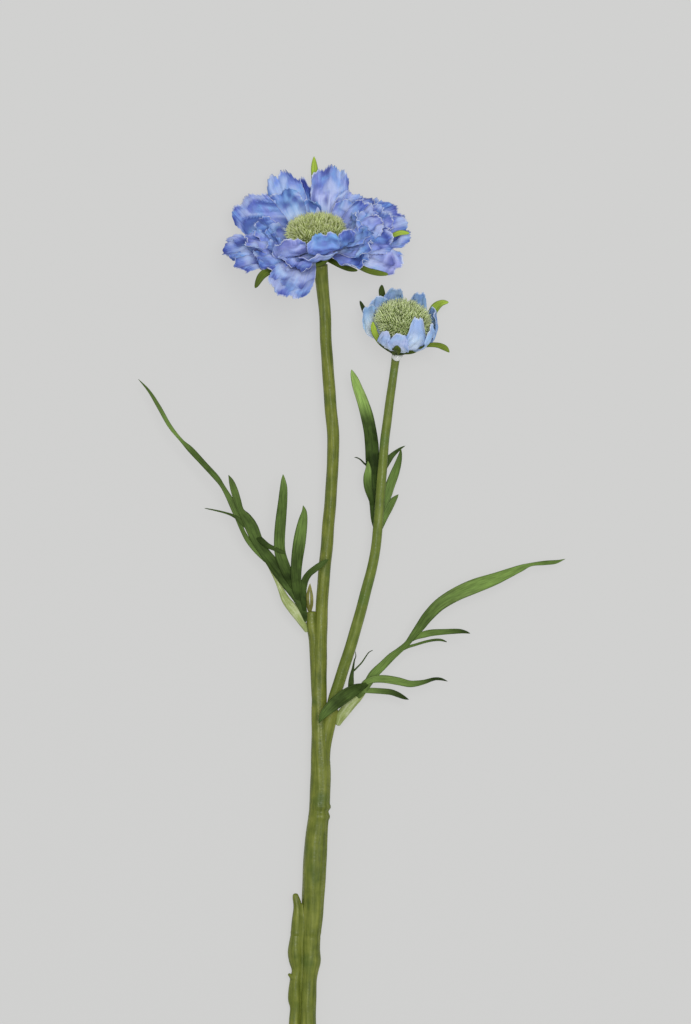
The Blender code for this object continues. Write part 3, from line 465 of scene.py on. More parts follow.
def pressed_leaf(name, dark, green, fresh_and_highlight, pale):
    """Leaf green picked by the dye, whose first value mixes in a fresh green that is partly a painted
    highlight, with fine veins as stripes along the blade and a darker rim.
    """
    made, tree, shader = shader_of(name, 0.62, Specular_IOR_Level=0.1)
    uv, dyes_and_shading, where = coordinates(tree)
    across = add(tree, "ShaderNodeSeparateXYZ", {"Vector": uv}).outputs["X"]
    grain = add(tree, "ShaderNodeMapping", {"Vector": uv, "Scale": (VEINS_ACROSS, 0.14, 1.0)}).outputs[0]
    vein = add(tree, "ShaderNodeTexNoise", {"Vector": grain, "Scale": 1.0, "Detail": 4.0, "Roughness": 0.6})
    vein = vein.outputs["Fac"]
    cloud = add(tree, "ShaderNodeTexNoise", {"Vector": where, "Scale": 170.0, "Detail": 4.0}).outputs["Fac"]
    green_share = add(tree, "ShaderNodeMapRange", {"Value": cloud, "From Min": 0.42, "From Max": 0.6})
    shade = {"Value": vein, "From Min": 0.35, "From Max": 0.68, "To Min": 0.62, "To Max": 1.25}
    rim = add(tree, "ShaderNodeMath", {0: across, 1: 0.5}, operation="SUBTRACT").outputs[0]
    rim = add(tree, "ShaderNodeMath", {0: rim}, operation="ABSOLUTE").outputs[0]
    rim = add(tree, "ShaderNodeMapRange", {"Value": rim, "From Min": 0.38, "From Max": 0.5, "To Max": 0.5})
    colour = linear(dark)
    for amount, paint, blend in (
        (green_share.outputs[0], linear(green), "MIX"),
        # Fresh green, air brushed and partly a painted highlight where the leaf catches the light.
        (dyes_and_shading["Red"], linear(fresh_and_highlight), "MIX"),
        (dyes_and_shading["Green"], linear(pale), "MIX"),
        (1.0, add(tree, "ShaderNodeMapRange", shade).outputs[0], "MULTIPLY"),
        (rim.outputs[0], linear(dark), "MIX"),
    ):
        sockets = {MIX_FACTOR: amount, MIX_A: colour, MIX_B: paint}
        colour = add(tree, "ShaderNodeMix", sockets, data_type="RGBA", blend_type=blend).outputs[MIX_OUT]
    tree.links.new(colour, shader.inputs["Base Color"])
    bump = add(tree, "ShaderNodeBump", {"Height": vein, "Strength": 0.3, "Distance": 0.0003})
    tree.links.new(bump.outputs["Normal"], shader.inputs["Normal"])
    return made


leaf_press = pressed_leaf("pressed leaf", "#26360F", "#3E5220", "#92B45C", "#B4BE84")
bract_press = pressed_leaf("pressed bract", "#33421A", "#52621F", "#A8C248", "#C3CF86")
print("leaf materials:", leaf_press.name, bract_press.name)

# %% [markdown]
# ## Tufts and clear glue
# Each cushion is a dark green foam core with fine moulded tufts, lighter at their tips, as the first
# dye value says. The dab of hot-melt glue under the half-open flower is clear and milky.
# %% Materials: tufts and glue
def tuft_plastic(name, root, middle, tip):
    """Soft polyethylene tufts: the dye runs from the root's green to the pale tip, a little different in
    each."""
    made, tree, shader = shader_of(name, 0.6, Specular_IOR_Level=0.3)
    uv, dyes_and_shading, where = coordinates(tree)
    stops = (0.0, linear(root)), (0.5, linear(middle)), (1.0, linear(tip))
    colour = add(tree, "ShaderNodeValToRGB", {"Fac": dyes_and_shading["Red"]}, stops).outputs["Color"]
    cloud = add(tree, "ShaderNodeTexNoise", {"Vector": where, "Scale": 300.0, "Detail": 3.0}).outputs["Fac"]
    shade = {"Value": cloud, "From Min": 0.35, "From Max": 0.65, "To Min": 0.7, "To Max": 1.12}
    sockets = {MIX_FACTOR: 1.0, MIX_A: colour, MIX_B: add(tree, "ShaderNodeMapRange", shade).outputs[0]}
    shaded = add(tree, "ShaderNodeMix", sockets, data_type="RGBA", blend_type="MULTIPLY").outputs[MIX_OUT]
    tree.links.new(shaded, shader.inputs["Base Color"])
    return made


bloom_tufts = tuft_plastic("moulded tufts", "#9CAC54", "#D4E094", "#F4F8D0")
bud_tufts = tuft_plastic("moulded tufts of the bud", "#A0B46A", "#D6E4A0", "#F2F8D4")
glue_melt, glue_tree, glue_shader = shader_of("hot-melt glue", 0.14, Transmission_Weight=0.15, IOR=1.45)
glue_place = coordinates(glue_tree)[2]
glue_haze = add(glue_tree, "ShaderNodeTexNoise", {"Vector": glue_place, "Scale": 900.0, "Detail": 2.0})
glue_sockets = {MIX_FACTOR: glue_haze.outputs["Fac"], MIX_A: linear("#FFFFFF"), MIX_B: linear("#E2E6E0")}
glue_colour = add(glue_tree, "ShaderNodeMix", glue_sockets, data_type="RGBA")
glue_tree.links.new(glue_colour.outputs[MIX_OUT], glue_shader.inputs["Base Color"])
print("head materials:", bloom_tufts.name, bud_tufts.name, glue_melt.name)

# %% [markdown]
# ## The forked stem
# The main stem runs from the cut end to the bloom. Low down a second strand is moulded onto its left,
# with a web between, and ends in a glossy knob with a small spur under it. Two swellings carry the side
# stem and the left leaf. Each is a strand sunk into the others, along the same route as its solid in
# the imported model: x, y, z and radius.
# %% Stem routes
MAIN_STEM = (
    (-16.4, -185.0, 3.02, 3.15), (-16.4, -165.0, 3.02, 3.15), (-16.6, -144.6, 3.1, 3.1),
    (-16.45, -135.9, 3.5, 2.95), (-16.2, -129.4, 3.8, 2.85), (-15.8, -125.2, 4.0, 3.15),
    (-15.3, -121.4, 4.2, 3.5), (-15.4, -117.0, 4.4, 3.4), (-15.2, -110.0, 4.8, 3.6),
    (-14.7, -101.0, 5.3, 4.1),
    (-14.1, -86.0, 6.0, 4.4), (-13.6, -77.0, 6.3, 4.3), (-12.5, -66.0, 6.8, 3.9), (-11.7, -52.0, 7.2, 3.9),
    (-11.9, -40.0, 7.6, 3.5), (-12.3, -22.2, 8.2, 2.9), (-12.0, -2.9, 9.0, 2.8), (-11.4, 12.3, 9.6, 2.35),
    (-10.3, 27.6, 10.2, 2.3), (-8.9, 42.0, 10.7, 2.3), (-7.4, 63.6, 11.6, 2.2), (-7.0, 77.0, 12.1, 2.3),
    (-8.2, 94.0, 12.7, 2.3), (-9.5, 111.2, 13.2, 2.2), (-10.3, 127.0, 13.8, 2.25), (-11.3, 138.0, 14.8, 2.5),
    (-11.8, 143.2, 16.0, 2.8),
)
SIDE_STRAND = (
    (-21.6, -185.0, 2.5, 2.45), (-21.6, -152.0, 2.6, 2.3), (-21.8, -144.6, 2.7, 2.1),
    (-21.5, -139.6, 3.0, 1.95),
    (-21.7, -135.9, 3.2, 2.4), (-21.3, -129.4, 3.5, 2.15), (-20.8, -125.2, 3.7, 1.95),
    (-21.3, -121.4, 4.0, 2.5),
    (-21.5, -117.6, 4.2, 2.75), (-21.0, -111.5, 4.5, 2.25), (-20.7, -107.4, 4.8, 2.1),
    (-20.4, -102.8, 5.1, 1.9),
    (-20.7, -99.8, 5.4, 1.55), (-21.2, -97.7, 5.6, 1.3), (-21.4, -96.6, 5.6, 1.05),
)
WEB = (
    (-18.6, -183.0, 2.2, 1.5), (-18.6, -150.0, 2.5, 1.5), (-18.6, -125.0, 3.5, 1.8),
    (-18.4, -116.0, 4.0, 2.1),
    (-18.3, -110.0, 4.6, 2.5), (-18.4, -104.0, 5.2, 2.3), (-18.7, -100.4, 5.4, 1.3),
)
SPUR = ((-21.4, -129.6, 3.8, 1.7), (-22.6, -127.8, 4.0, 1.2), (-23.8, -126.9, 4.1, 0.55))
FORK = ((-11.2, -48.0, 7.4, 2.8), (-10.2, -38.0, 7.6, 2.7), (-8.6, -30.0, 7.9, 2.9), (-7.6, -26.4, 8.1, 2.7))
LEAF_STUB = (
    (-13.2, -24.0, 8.4, 1.8), (-13.7, -10.0, 8.8, 2.0), (-14.1, 0.0, 9.0, 2.0), (-15.0, 6.0, 9.2, 2.1),
    (-15.3, 11.4, 9.3, 1.9),
)
SIDE_STEM = (
    (-8.6, -30.4, 7.7, 2.1), (-6.9, -22.2, 8.4, 2.2), (-4.4, -14.2, 9.2, 2.2), (1.3, 3.8, 10.4, 2.15),
    (5.1, 18.1, 11.0, 2.05), (8.6, 32.1, 11.2, 1.9), (9.9, 42.8, 11.2, 1.85), (10.6, 50.4, 11.0, 1.8),
    (12.1, 70.5, 9.8, 1.75), (13.1, 80.8, 8.8, 1.7), (14.8, 93.3, 7.0, 1.6), (16.3, 103.6, 5.9, 1.5),
    (17.0, 109.3, 6.8, 1.6),
)
print("stem routes:", len(MAIN_STEM), "points on the main stem,", len(SIDE_STEM), "on the side stem")

# %% Build the stems
RIGHT_FACE = 3.9
TOP_FACE = 3.14
LIPS = (
    (-62.4, 0.7, 0.65, RIGHT_FACE), (-64.2, 0.6, -0.4, RIGHT_FACE), (-66.2, 0.8, 0.6, RIGHT_FACE),
    (-110.8, 0.35, 0.3, TOP_FACE), (-112.0, 0.5, -0.25, TOP_FACE),
)
SEAM = ((-110.8, 0.35, 0.28, TOP_FACE), (-112.0, 0.4, -0.2, TOP_FACE))
main_parts = [
    strand(MAIN_STEM, 420, 56, flutes=8, depth=0.16, lumps=0.10, rings=LIPS, dome=0.12, seed=2),
    strand(SIDE_STRAND, 160, 36, flutes=3, depth=0.08, lumps=0.12, rings=SEAM, dome=0.8, seed=3),
    strand(WEB, 90, 24, flutes=3, depth=0.05, lumps=0.08, rings=SEAM, dome=0.7, seed=7),
    strand(SPUR, 14, 20, lumps=0.05, dome=0.8, seed=4),
    strand(FORK, 48, 40, flutes=6, depth=0.12, lumps=0.12, dome=0.9, seed=5),
    strand(LEAF_STUB, 60, 32, flutes=5, depth=0.08, lumps=0.06, dome=0.25, seed=6),
]
piece("main_stem_skin", joined(main_parts), stem_pvc, "main_stem")
side_part = strand(SIDE_STEM, 240, 36, flutes=6, depth=0.09, lumps=0.06, dome=0.3, seed=8)
piece("side_stem_skin", side_part, side_pvc, "side_stem")

# %% [markdown]
# ## Leaf stalks
# Where a leaf meets the stem it has a pale sheath, swollen like a grain and split by a membrane. It is
# a short strand with a strong flute.
# %% Build the stalks
LEFT_STALK = (
    (-17.0, 4.6, 8.8, 1.0), (-19.5, 8.4, 9.6, 1.5), (-22.1, 12.4, 10.1, 1.9), (-24.9, 16.2, 10.5, 1.6),
    (-26.7, 20.0, 10.8, 1.15), (-28.8, 24.6, 11.2, 0.8), (-31.6, 29.4, 11.6, 0.4),
)
RIGHT_STALK = (
    (-5.1, -31.0, 7.8, 1.1), (-4.0, -28.4, 8.2, 1.9), (-2.3, -26.1, 8.6, 2.1), (-0.8, -24.1, 8.9, 2.1),
    (1.0, -22.3, 9.2, 1.8), (2.5, -20.9, 9.5, 1.5), (4.4, -18.8, 10.0, 1.1),
)
left_part = strand(LEFT_STALK, 60, 32, flutes=3, depth=0.16, lumps=0.10, dome=0.7, seed=10)
piece("left_sheath", left_part, sheath_pvc, "left_leaf_stalk")
right_part = strand(RIGHT_STALK, 50, 32, flutes=3, depth=0.2, lumps=0.12, dome=0.7, seed=11)
piece("right_sheath", right_part, sheath_pvc, "right_leaf_stalk")

# %% [markdown]
# ## Leaves
# A scabiosa leaf is cut into narrow lobes along a midrib that is hardly wider than they are. Each lobe
# here is a blade along its own route, which is given in the photo's terms: pixel x and y, height over
# the table in mm, and half width in pixels. Across it the blade is keeled like a shallow boat, its
# edges wave a little, and a fine midrib stands proud. Its root is rounded and dips into what carries
# it. A few values say how much fresh green, air brushed and partly a painted highlight, it has along
# the lobe.
# %% Leaf lobes
KEEL = 0.25
LEAF_THICK = 0.42
RIB_MM = 0.10
ROW_MM = 0.5
THINNEST_MM = 0.15


def from_photo(points):
    """Route points in mm from ones given in photo pixels: x = (px - origin x) scale, y = (origin y - py)
    scale, z as it is and half width = half pixels scale."""
    x, y, z, half = np.asarray(points, float).T
    return np.column_stack([x - ORIGIN_PIXEL[0], ORIGIN_PIXEL[1] - y, z / MM_PER_PIXEL, half]) * MM_PER_PIXEL


def lobe(route, fresh_and_highlight=(0.1,), seed=0, columns=11):
    """A keeled blade. With u from -1 to 1 across it and w its half width, a point is centre + u w side +
    (keel |u|^1.3 w + wave |u|^1.5 + rib e^(-(u w / 0.3)^2)) normal. Near its root, w is sqrt(1 - (1 - s /
    w0)^2) of itself, which is a half circle, and at its tip sqrt(1 - t^24)."""
    length = np.linalg.norm(np.diff(np.asarray(route)[:, :3], axis=0), axis=1).sum()
    line, along = smooth_route(route, int(length / ROW_MM) + 12)
    t = along / along[-1]
    centres = line[:, :3]
    width = np.maximum(line[:, 3], THINNEST_MM)
    root = 1.0 - (1.0 - np.minimum(along / width[0], 1.0)) ** 2
    width = width * np.sqrt(np.clip(root * (1.0 - t**24), 0.03, 1.0))
    _, side, normal = side_and_normal(centres)
    phase = np.random.default_rng(100 + seed).uniform(0, 2 * math.pi, 3)
    u = np.linspace(-1.0, 1.0, columns)[None, :]
    s = along[:, None]
    w = width[:, None]
    wave = 0.16 * w * np.sin(s / 2.6 + phase[0] + 1.2 * np.sign(u)) + 0.14 * w * np.sin(s / 6.0 + phase[1])
    rib = RIB_MM * np.exp(-((u * w / 0.3) ** 2))
    lift = KEEL * np.abs(u) ** 1.3 * w + wave * np.abs(u) ** 1.5 + rib
    middle = centres[:, None] + (u * w)[..., None] * side[:, None] + lift[..., None] * normal[:, None]
    thick = LEAF_THICK / 2 * (1 - 0.6 * np.abs(u) ** 3) * np.clip(w / 0.9, 0.35, 1.0)
    uv = np.stack([(u + 1) / 2 + 0 * s, s + 0 * u], axis=-1)
    # How much fresh green along the lobe: air brushed, and partly a painted highlight; pale patches at the
    # edges grow with it.
    shade = np.interp(t, np.linspace(0, 1, len(fresh_and_highlight)), fresh_and_highlight)[:, None] + 0 * u
    lightened = 0.25 * shade * np.clip(np.sin(s / 9.0 + phase[2]), 0, 1) * np.abs(u)
    return blade(middle, thick, uv, np.stack([shade, lightened, 0 * shade, 0 * shade], axis=-1))


LEFT_LEAF = (
    ((
        (305.5, 622, 10.2, 1.6), (303, 610, 10.9, 3.8), (298.3, 597.5, 11.4, 5.9),
        (289.5, 583, 11.8, 7.8), (277, 568, 12.4, 6.8), (266, 554, 13.2, 5.2), (258, 542, 13.9, 5.6),
        (252, 528, 14.5, 6.4), (246.5, 518, 15, 5.2), (241, 510.5, 15.6, 3.2), (237.5, 500, 16.2, 3.6),
        (234.5, 490, 16.8, 3.7), (231.5, 481, 17.3, 3), (228.9, 475.2, 17.6, 1.5),
    ), (0, 0.1, 0.15, 0.05, 0.1, 0.1, 0.2, 0.1, 0.15, 0.3, 0.2)),
    ((
        (267, 562, 12.6, 1.8), (257, 551, 13.2, 2.8), (248, 540, 13.6, 2.6), (242, 529, 14, 2.2),
        (238, 516.5, 14.4, 3.4), (233, 504.5, 14.7, 3.6), (227.5, 494.5, 15, 2.6), (222.5, 486, 15, 2.2),
        (216.5, 477.5, 14.9, 2.8), (205, 465, 14.6, 2.9), (191, 450, 13.8, 3), (181.5, 440.4, 13.2, 1.7),
        (169.7, 425.9, 12, 2), (158.3, 405.9, 10.6, 2), (148.6, 390.7, 9.6, 1.5), (138.1, 379, 8.8, 0.7),
    ), (0.3, 0.35, 0.2, 0.3, 0.2, 0.1, 0.2, 0.55, 0.4, 0.2, 0.15)),
    ((
        (255, 533, 13.4, 2), (262, 541, 14.9, 3), (268, 545.6, 15.3, 2.6), (275, 548.8, 15.6, 2.2),
        (281, 551.4, 15.8, 1.9), (286, 553, 15.8, 1),
    ), (0.05, 0, 0)),
    ((
        (247, 528, 14.4, 1.5), (240, 520.5, 15, 1.8), (234, 516, 14.6, 1.5), (226, 513, 13, 1),
        (216, 510.5, 12.2, 0.8), (204.5, 508.2, 11.6, 0.5),
    ), (0.1, 0)),
    ((
        (298, 596, 10.8, 2.5), (294, 585, 12.2, 4.5), (286.5, 570, 13.6, 5.2), (280.5, 554, 14.8, 5.5),
        (279.6, 540, 15.6, 5.4), (281, 520, 16.6, 5.3), (283, 500, 17.3, 4.5), (283.8, 488, 17.7, 3.8),
        (283.5, 480, 17.9, 2.7), (283.3, 474.5, 18, 1.4),
    ), (0, 0, 0.2, 0.25, 0.15, 0.2, 0.5)),
    ((
        (301, 607, 10.6, 2.2), (297.5, 592, 12.2, 4.4), (296.3, 576, 13.6, 5), (297, 560, 14.8, 5.8),
        (299.8, 540, 16.2, 6.2), (302.8, 522, 17.2, 4.8), (304.3, 512, 17.8, 3),
        (303.3, 505.5, 18.2, 1.3),
    ), (0, 0.05, 0.1, 0.1, 0.35, 0.4, 0.3)),
    ((
        (305, 617, 10.2, 1.2), (304, 604, 11.6, 2.4), (303.2, 592, 12.4, 3.2), (304.8, 581, 13.8, 3.5),
        (309, 573.8, 15, 3.2), (315, 568.8, 15.9, 3.2), (321, 564.3, 16.1, 2.8), (326, 561, 16, 2),
        (328.5, 559.6, 15.8, 1.2),
    ), (0, 0, 0.05, 0.1, 0.15, 0.05)),
)
RIGHT_LEAF = (
    ((
        (357, 698, 10.6, 2.2), (362, 692, 11.3, 3.4), (368, 683, 11.8, 4.2), (374, 674, 12.2, 4.6),
        (383, 665, 12.5, 4.2), (391, 657, 12.8, 3.8), (399, 650.5, 13, 3), (407, 643.5, 13.2, 2.7),
        (413, 635.5, 13.5, 3.4), (420, 626.5, 13.8, 4.6), (428.1, 615.9, 14.2, 5.5),
        (439.9, 604.1, 14.4, 6.2), (456, 594.1, 14.2, 6.8), (474.9, 585.9, 13.8, 7.2),
        (497, 578, 12.8, 5.8), (519.4, 568.8, 11.4, 3.6), (531, 564.6, 10.4, 1.8), (545.2, 563, 9.2, 2.3),
        (556.2, 562, 8.2, 2.3), (565.7, 559.1, 7.2, 0.8),
    ), (0.2, 0.35, 0.45, 0.4, 0.2, 0.2, 0.25, 0.4, 0.55, 0.6, 0.6, 0.5, 0.3, 0.4)),
    ((
        (410, 641, 12.4, 1.4), (416, 636.8, 13.5, 2.6), (424, 634.3, 14.1, 3.3), (432, 632.6, 14.4, 3.3),
        (445, 631.6, 14.8, 2.8), (458, 631, 14.8, 2.4), (465, 631.8, 14.6, 1.6), (470, 633.3, 14.4, 0.8),
    ), (0.3, 0.4, 0.35, 0.05, 0)),
    ((
        (398, 652, 12.2, 1.2), (404, 648.6, 12.9, 1.5), (409, 646.5, 12.8, 1.4), (416, 644.5, 12.6, 1.3),
        (425, 641.8, 12.4, 1.3), (434, 640, 12.2, 1.3), (441, 640, 12, 1.2), (447, 642, 11.8, 0.7),
    ), (0.3, 0.2, 0)),
    ((
        (362, 685, 11.2, 2), (368, 681, 12.2, 3), (376, 679, 12.7, 3.6), (386, 679, 13.3, 3.9),
        (398, 681, 13.8, 3.9), (409, 683.6, 14, 3.4), (417, 683.2, 14, 2.9), (425, 681.5, 13.8, 2.2),
        (434, 678.8, 13.6, 1.6), (441, 679, 13.3, 1.4), (447.5, 681.2, 13, 0.7),
    ), (0.45, 0.45, 0.45, 0.4, 0.3, 0, 0)),
    ((
        (359, 690.8, 10.8, 1.8), (365, 690.4, 11.6, 2.6), (372, 690.6, 11.3, 2.8),
        (382, 691.3, 10.8, 2.9), (391, 692.3, 10.4, 2.9), (398, 694.8, 10, 2.6), (404, 697.7, 9.5, 1.8),
        (408.8, 699.8, 9, 0.7),
    ), (0.4, 0.4, 0.2, 0.05, 0)),
    ((
        (369, 683.6, 11.6, 1.4), (362, 686.5, 12.8, 3.4), (354, 690, 14, 5.6), (343, 697, 15.2, 6.6),
        (332, 705.5, 16.2, 6),
        (324.5, 713, 16.4, 4.2), (320.5, 719, 16.2, 2.2), (319, 723, 16, 0.8),
    ), (0, 0, 0.1, 0.05, 0.2, 0.1)),
    ((
        (350.5, 690, 13, 2.4), (351, 683, 14.5, 2.8), (351.6, 676, 14.7, 2.1), (353, 668, 14.8, 1.2),
        (354.4, 660, 15, 0.7), (355.8, 656, 15.1, 0.5), (355.2, 651, 15.2, 0.4),
    ), (0.1, 0)),
    ((
        (353.3, 671, 14.8, 1), (358, 666.3, 15, 0.8), (362, 662, 15.1, 0.7), (366, 656, 15.2, 0.6),
        (369, 652, 15.3, 0.5), (373, 649.8, 15.4, 0.4),
    ), (0.1, 0)),
)
UPPER_LEAF = (
    ((
        (378, 534, 8.6, 2.5), (375.5, 520, 7.4, 4.3), (375, 505, 7, 5.3), (374, 490, 7, 6),
        (373, 475, 7.2, 6.5), (372.5, 460, 7.4, 6.8), (371.8, 445, 7.8, 6.8), (370, 430, 8.4, 6.4),
        (366.8, 415, 9, 6.3), (362.5, 401, 9.8, 5.6), (358, 389, 10.4, 4.9), (354.8, 379.5, 11, 4.2),
        (352.6, 373.5, 11.4, 3.2), (351.5, 369.6, 11.6, 2),
    ), (0, 0, 0, 0, 0, 0, 0, 0.12, 0.95, 1, 1)),
    ((
        (374, 510, 6.6, 1.4), (371.5, 500, 7.8, 2.6), (368.2, 488, 8.8, 3.8), (367.5, 478, 10, 4.2),
        (368.3, 470, 10.6, 3.2), (368.2, 464, 11, 1.8), (367.8, 461, 11, 0.8),
    ), (0, 0, 0.1, 0.3, 0.6, 0.5)),
    ((
        (370, 468, 7, 1), (364, 463, 7.3, 0.9), (360.5, 459.5, 7.5, 0.7), (357, 457.6, 7.7, 0.6),
        (354.3, 457.3, 7.8, 0.4),
    ), (0, 0)),
    ((
        (384, 470, 7.2, 2), (388.5, 460, 6.6, 3.2), (392.5, 455, 6.5, 2.5), (397, 451, 6.6, 1.8),
        (401, 448, 6.9, 1.1), (405.5, 445.5, 7.3, 0.4),
    ), (0.15, 0.05, 0)),
    ((
        (381.5, 513, 7.8, 1.8), (386.5, 497, 6.8, 4.5), (390, 486, 6.3, 4.8), (394.5, 474, 6.2, 4.4),
        (398.3, 463, 6.5, 3.2), (400.5, 454, 6.8, 1.8), (400.9, 448.3, 7.2, 0.8),
    ), (0.25, 0.4, 0.45, 0.4, 0.3, 0.1)),
    ((
        (380, 531, 8, 1.6), (384.5, 516, 7.2, 4), (388.5, 508, 6.6, 4.2), (393, 501, 6.3, 3.2),
        (396.5, 496.8, 6.4, 1.8), (398.6, 494.4, 6.6, 0.8),
    ), (0.2, 0.45, 0.35, 0.2)),
)
AXIL_BUD = (
    ((
        (309.2, 611.7, 9.4, 1.4), (307.6, 603, 9.9, 1.9), (307.6, 596, 10.2, 1.7),
        (309.2, 588, 10.6, 1.1), (310.2, 583.5, 10.8, 0.7),
    ), (0.2, 0.3, 0.6)),
    ((
        (310.2, 611.7, 9.4, 1.3), (311.6, 604, 9.9, 1.6), (311.6, 596, 10.2, 1.5),
        (310.8, 589, 10.5, 0.9), (310.4, 585, 10.7, 0.6),
    ), (0.1, 0.2, 0.4)),
)

# %% Build the leaves
for name, node, lobes, material, slot in (
    ("left_leaf_skin", "left_leaf", LEFT_LEAF, leaf_press, "leaf"),
    ("right_leaf_skin", "right_leaf", RIGHT_LEAF, leaf_press, "leaf"),
    ("upper_leaf_skin", "upper_leaf", UPPER_LEAF, leaf_press, "leaf"),
    ("axil_shoot", "axil_bud", AXIL_BUD, shoot_pvc, "axil_shoot"),
):
    surface = joined([lobe(from_photo(route), fresh_and_highlight, seed=k) for k, (route, fresh_and_highlight) in enumerate(lobes)])
    piece(name, surface, material, node)

# %% [markdown]
# ## The flower heads
# A head has its own axes: right, back and out of its face. The bloom faces up and away from the table,
# and the half-open flower a little more so. Its petals and cushion are worked out in those axes and
# then placed.
# %% Head axes
BLOOM = {"centre": (-13.0, 150.3, 19.5), "lean": 6.0, "tilt": 28.0}
BUD = {"centre": (18.1, 114.8, 10.7), "lean": -12.0, "tilt": 35.0}
BLOOM_CUSHION = {"radius": 9.9, "half": 3.2, "middle": 6.4, "clear": 2.0}
BUD_CUSHION = {"radius": 9.2, "half": 5.0, "middle": 8.6, "clear": 2.6}
CUSHION_POWER = 2.4


def placed(head, points):
    """Points in a head's axes, turned by its lean and tilt and moved to its centre."""
    lean, tilt = math.radians(head["lean"]), math.radians(head["tilt"])
    right = np.array((math.cos(lean), math.sin(lean), 0.0))
    out = np.array((-math.sin(lean) * math.cos(tilt), math.cos(lean) * math.cos(tilt), math.sin(tilt)))
    return np.asarray(head["centre"]) + np.asarray(points) @ np.array((right, np.cross(out, right), out))


def off_cushion(points, cushion):
    """Points inside the cushion, grown by its clearance, are moved straight out to its surface."""
    radius, half = cushion["radius"] + cushion["clear"], cushion["half"] + cushion["clear"]
    offset = points - np.array((0.0, 0.0, cushion["middle"]))
    across = np.linalg.norm(offset[..., :2], axis=-1) / radius
    depth = (across**CUSHION_POWER + np.abs(offset[..., 2] / half) ** CUSHION_POWER) ** (1 / CUSHION_POWER)
    return points + offset / np.clip(depth, 0.05, 1.0)[..., None] - offset


def off_table(points, clear):
    """Points that would pass through the table are bent along it: height is clear + 2 e^(-depth / 2)
    there."""
    lifted = np.array(points, float)
    below = np.maximum(clear + 2.0 - lifted[..., 2], 0.0)
    lifted[..., 2] = np.where(below > 0.0, clear + 2.0 * np.exp(-below / 2.0), lifted[..., 2])
    return lifted


# %% [markdown]
# ## Petals
# A petal is a fan along a curved centre line from its root to its tip. Pinking shears leave small
# uneven teeth, and the hot press leaves folds in every direction, soft ones and sharp ones. All of
# these are waves of the two grid parameters, u across and v along, added to the height of the sheet.
# How deep a point lies in the folds is kept for the material, which paints highlight on the crests and
# shade in the hollows.
# %% Petal surface
PETAL_THICK = 0.28
FOLD_MM = (4.0, 15.0)
FOLD_RISE = 0.036
FOLD_COUNT = 9


def folds(x, y, draw):
    """Pressed folds: waves of sin(2 pi (x cos a + y sin a) / length + phase) in all directions a, each as
    high as FOLD_RISE of its length and bent by the one before. Every third is a sharp crease, asin of the
    sine."""
    rise = np.zeros(np.broadcast(x, y).shape)
    before = rise
    for k in range(FOLD_COUNT):
        length = draw.uniform(*FOLD_MM)
        way, phase = draw.uniform(0.0, math.pi), draw.uniform(0.0, 2 * math.pi)
        wave = np.sin(2 * math.pi * (x * math.cos(way) + y * math.sin(way)) / length + phase + before)
        before = wave if k % 3 else 2 / math.pi * np.arcsin(wave)
        rise = rise + FOLD_RISE * length * before
    return rise


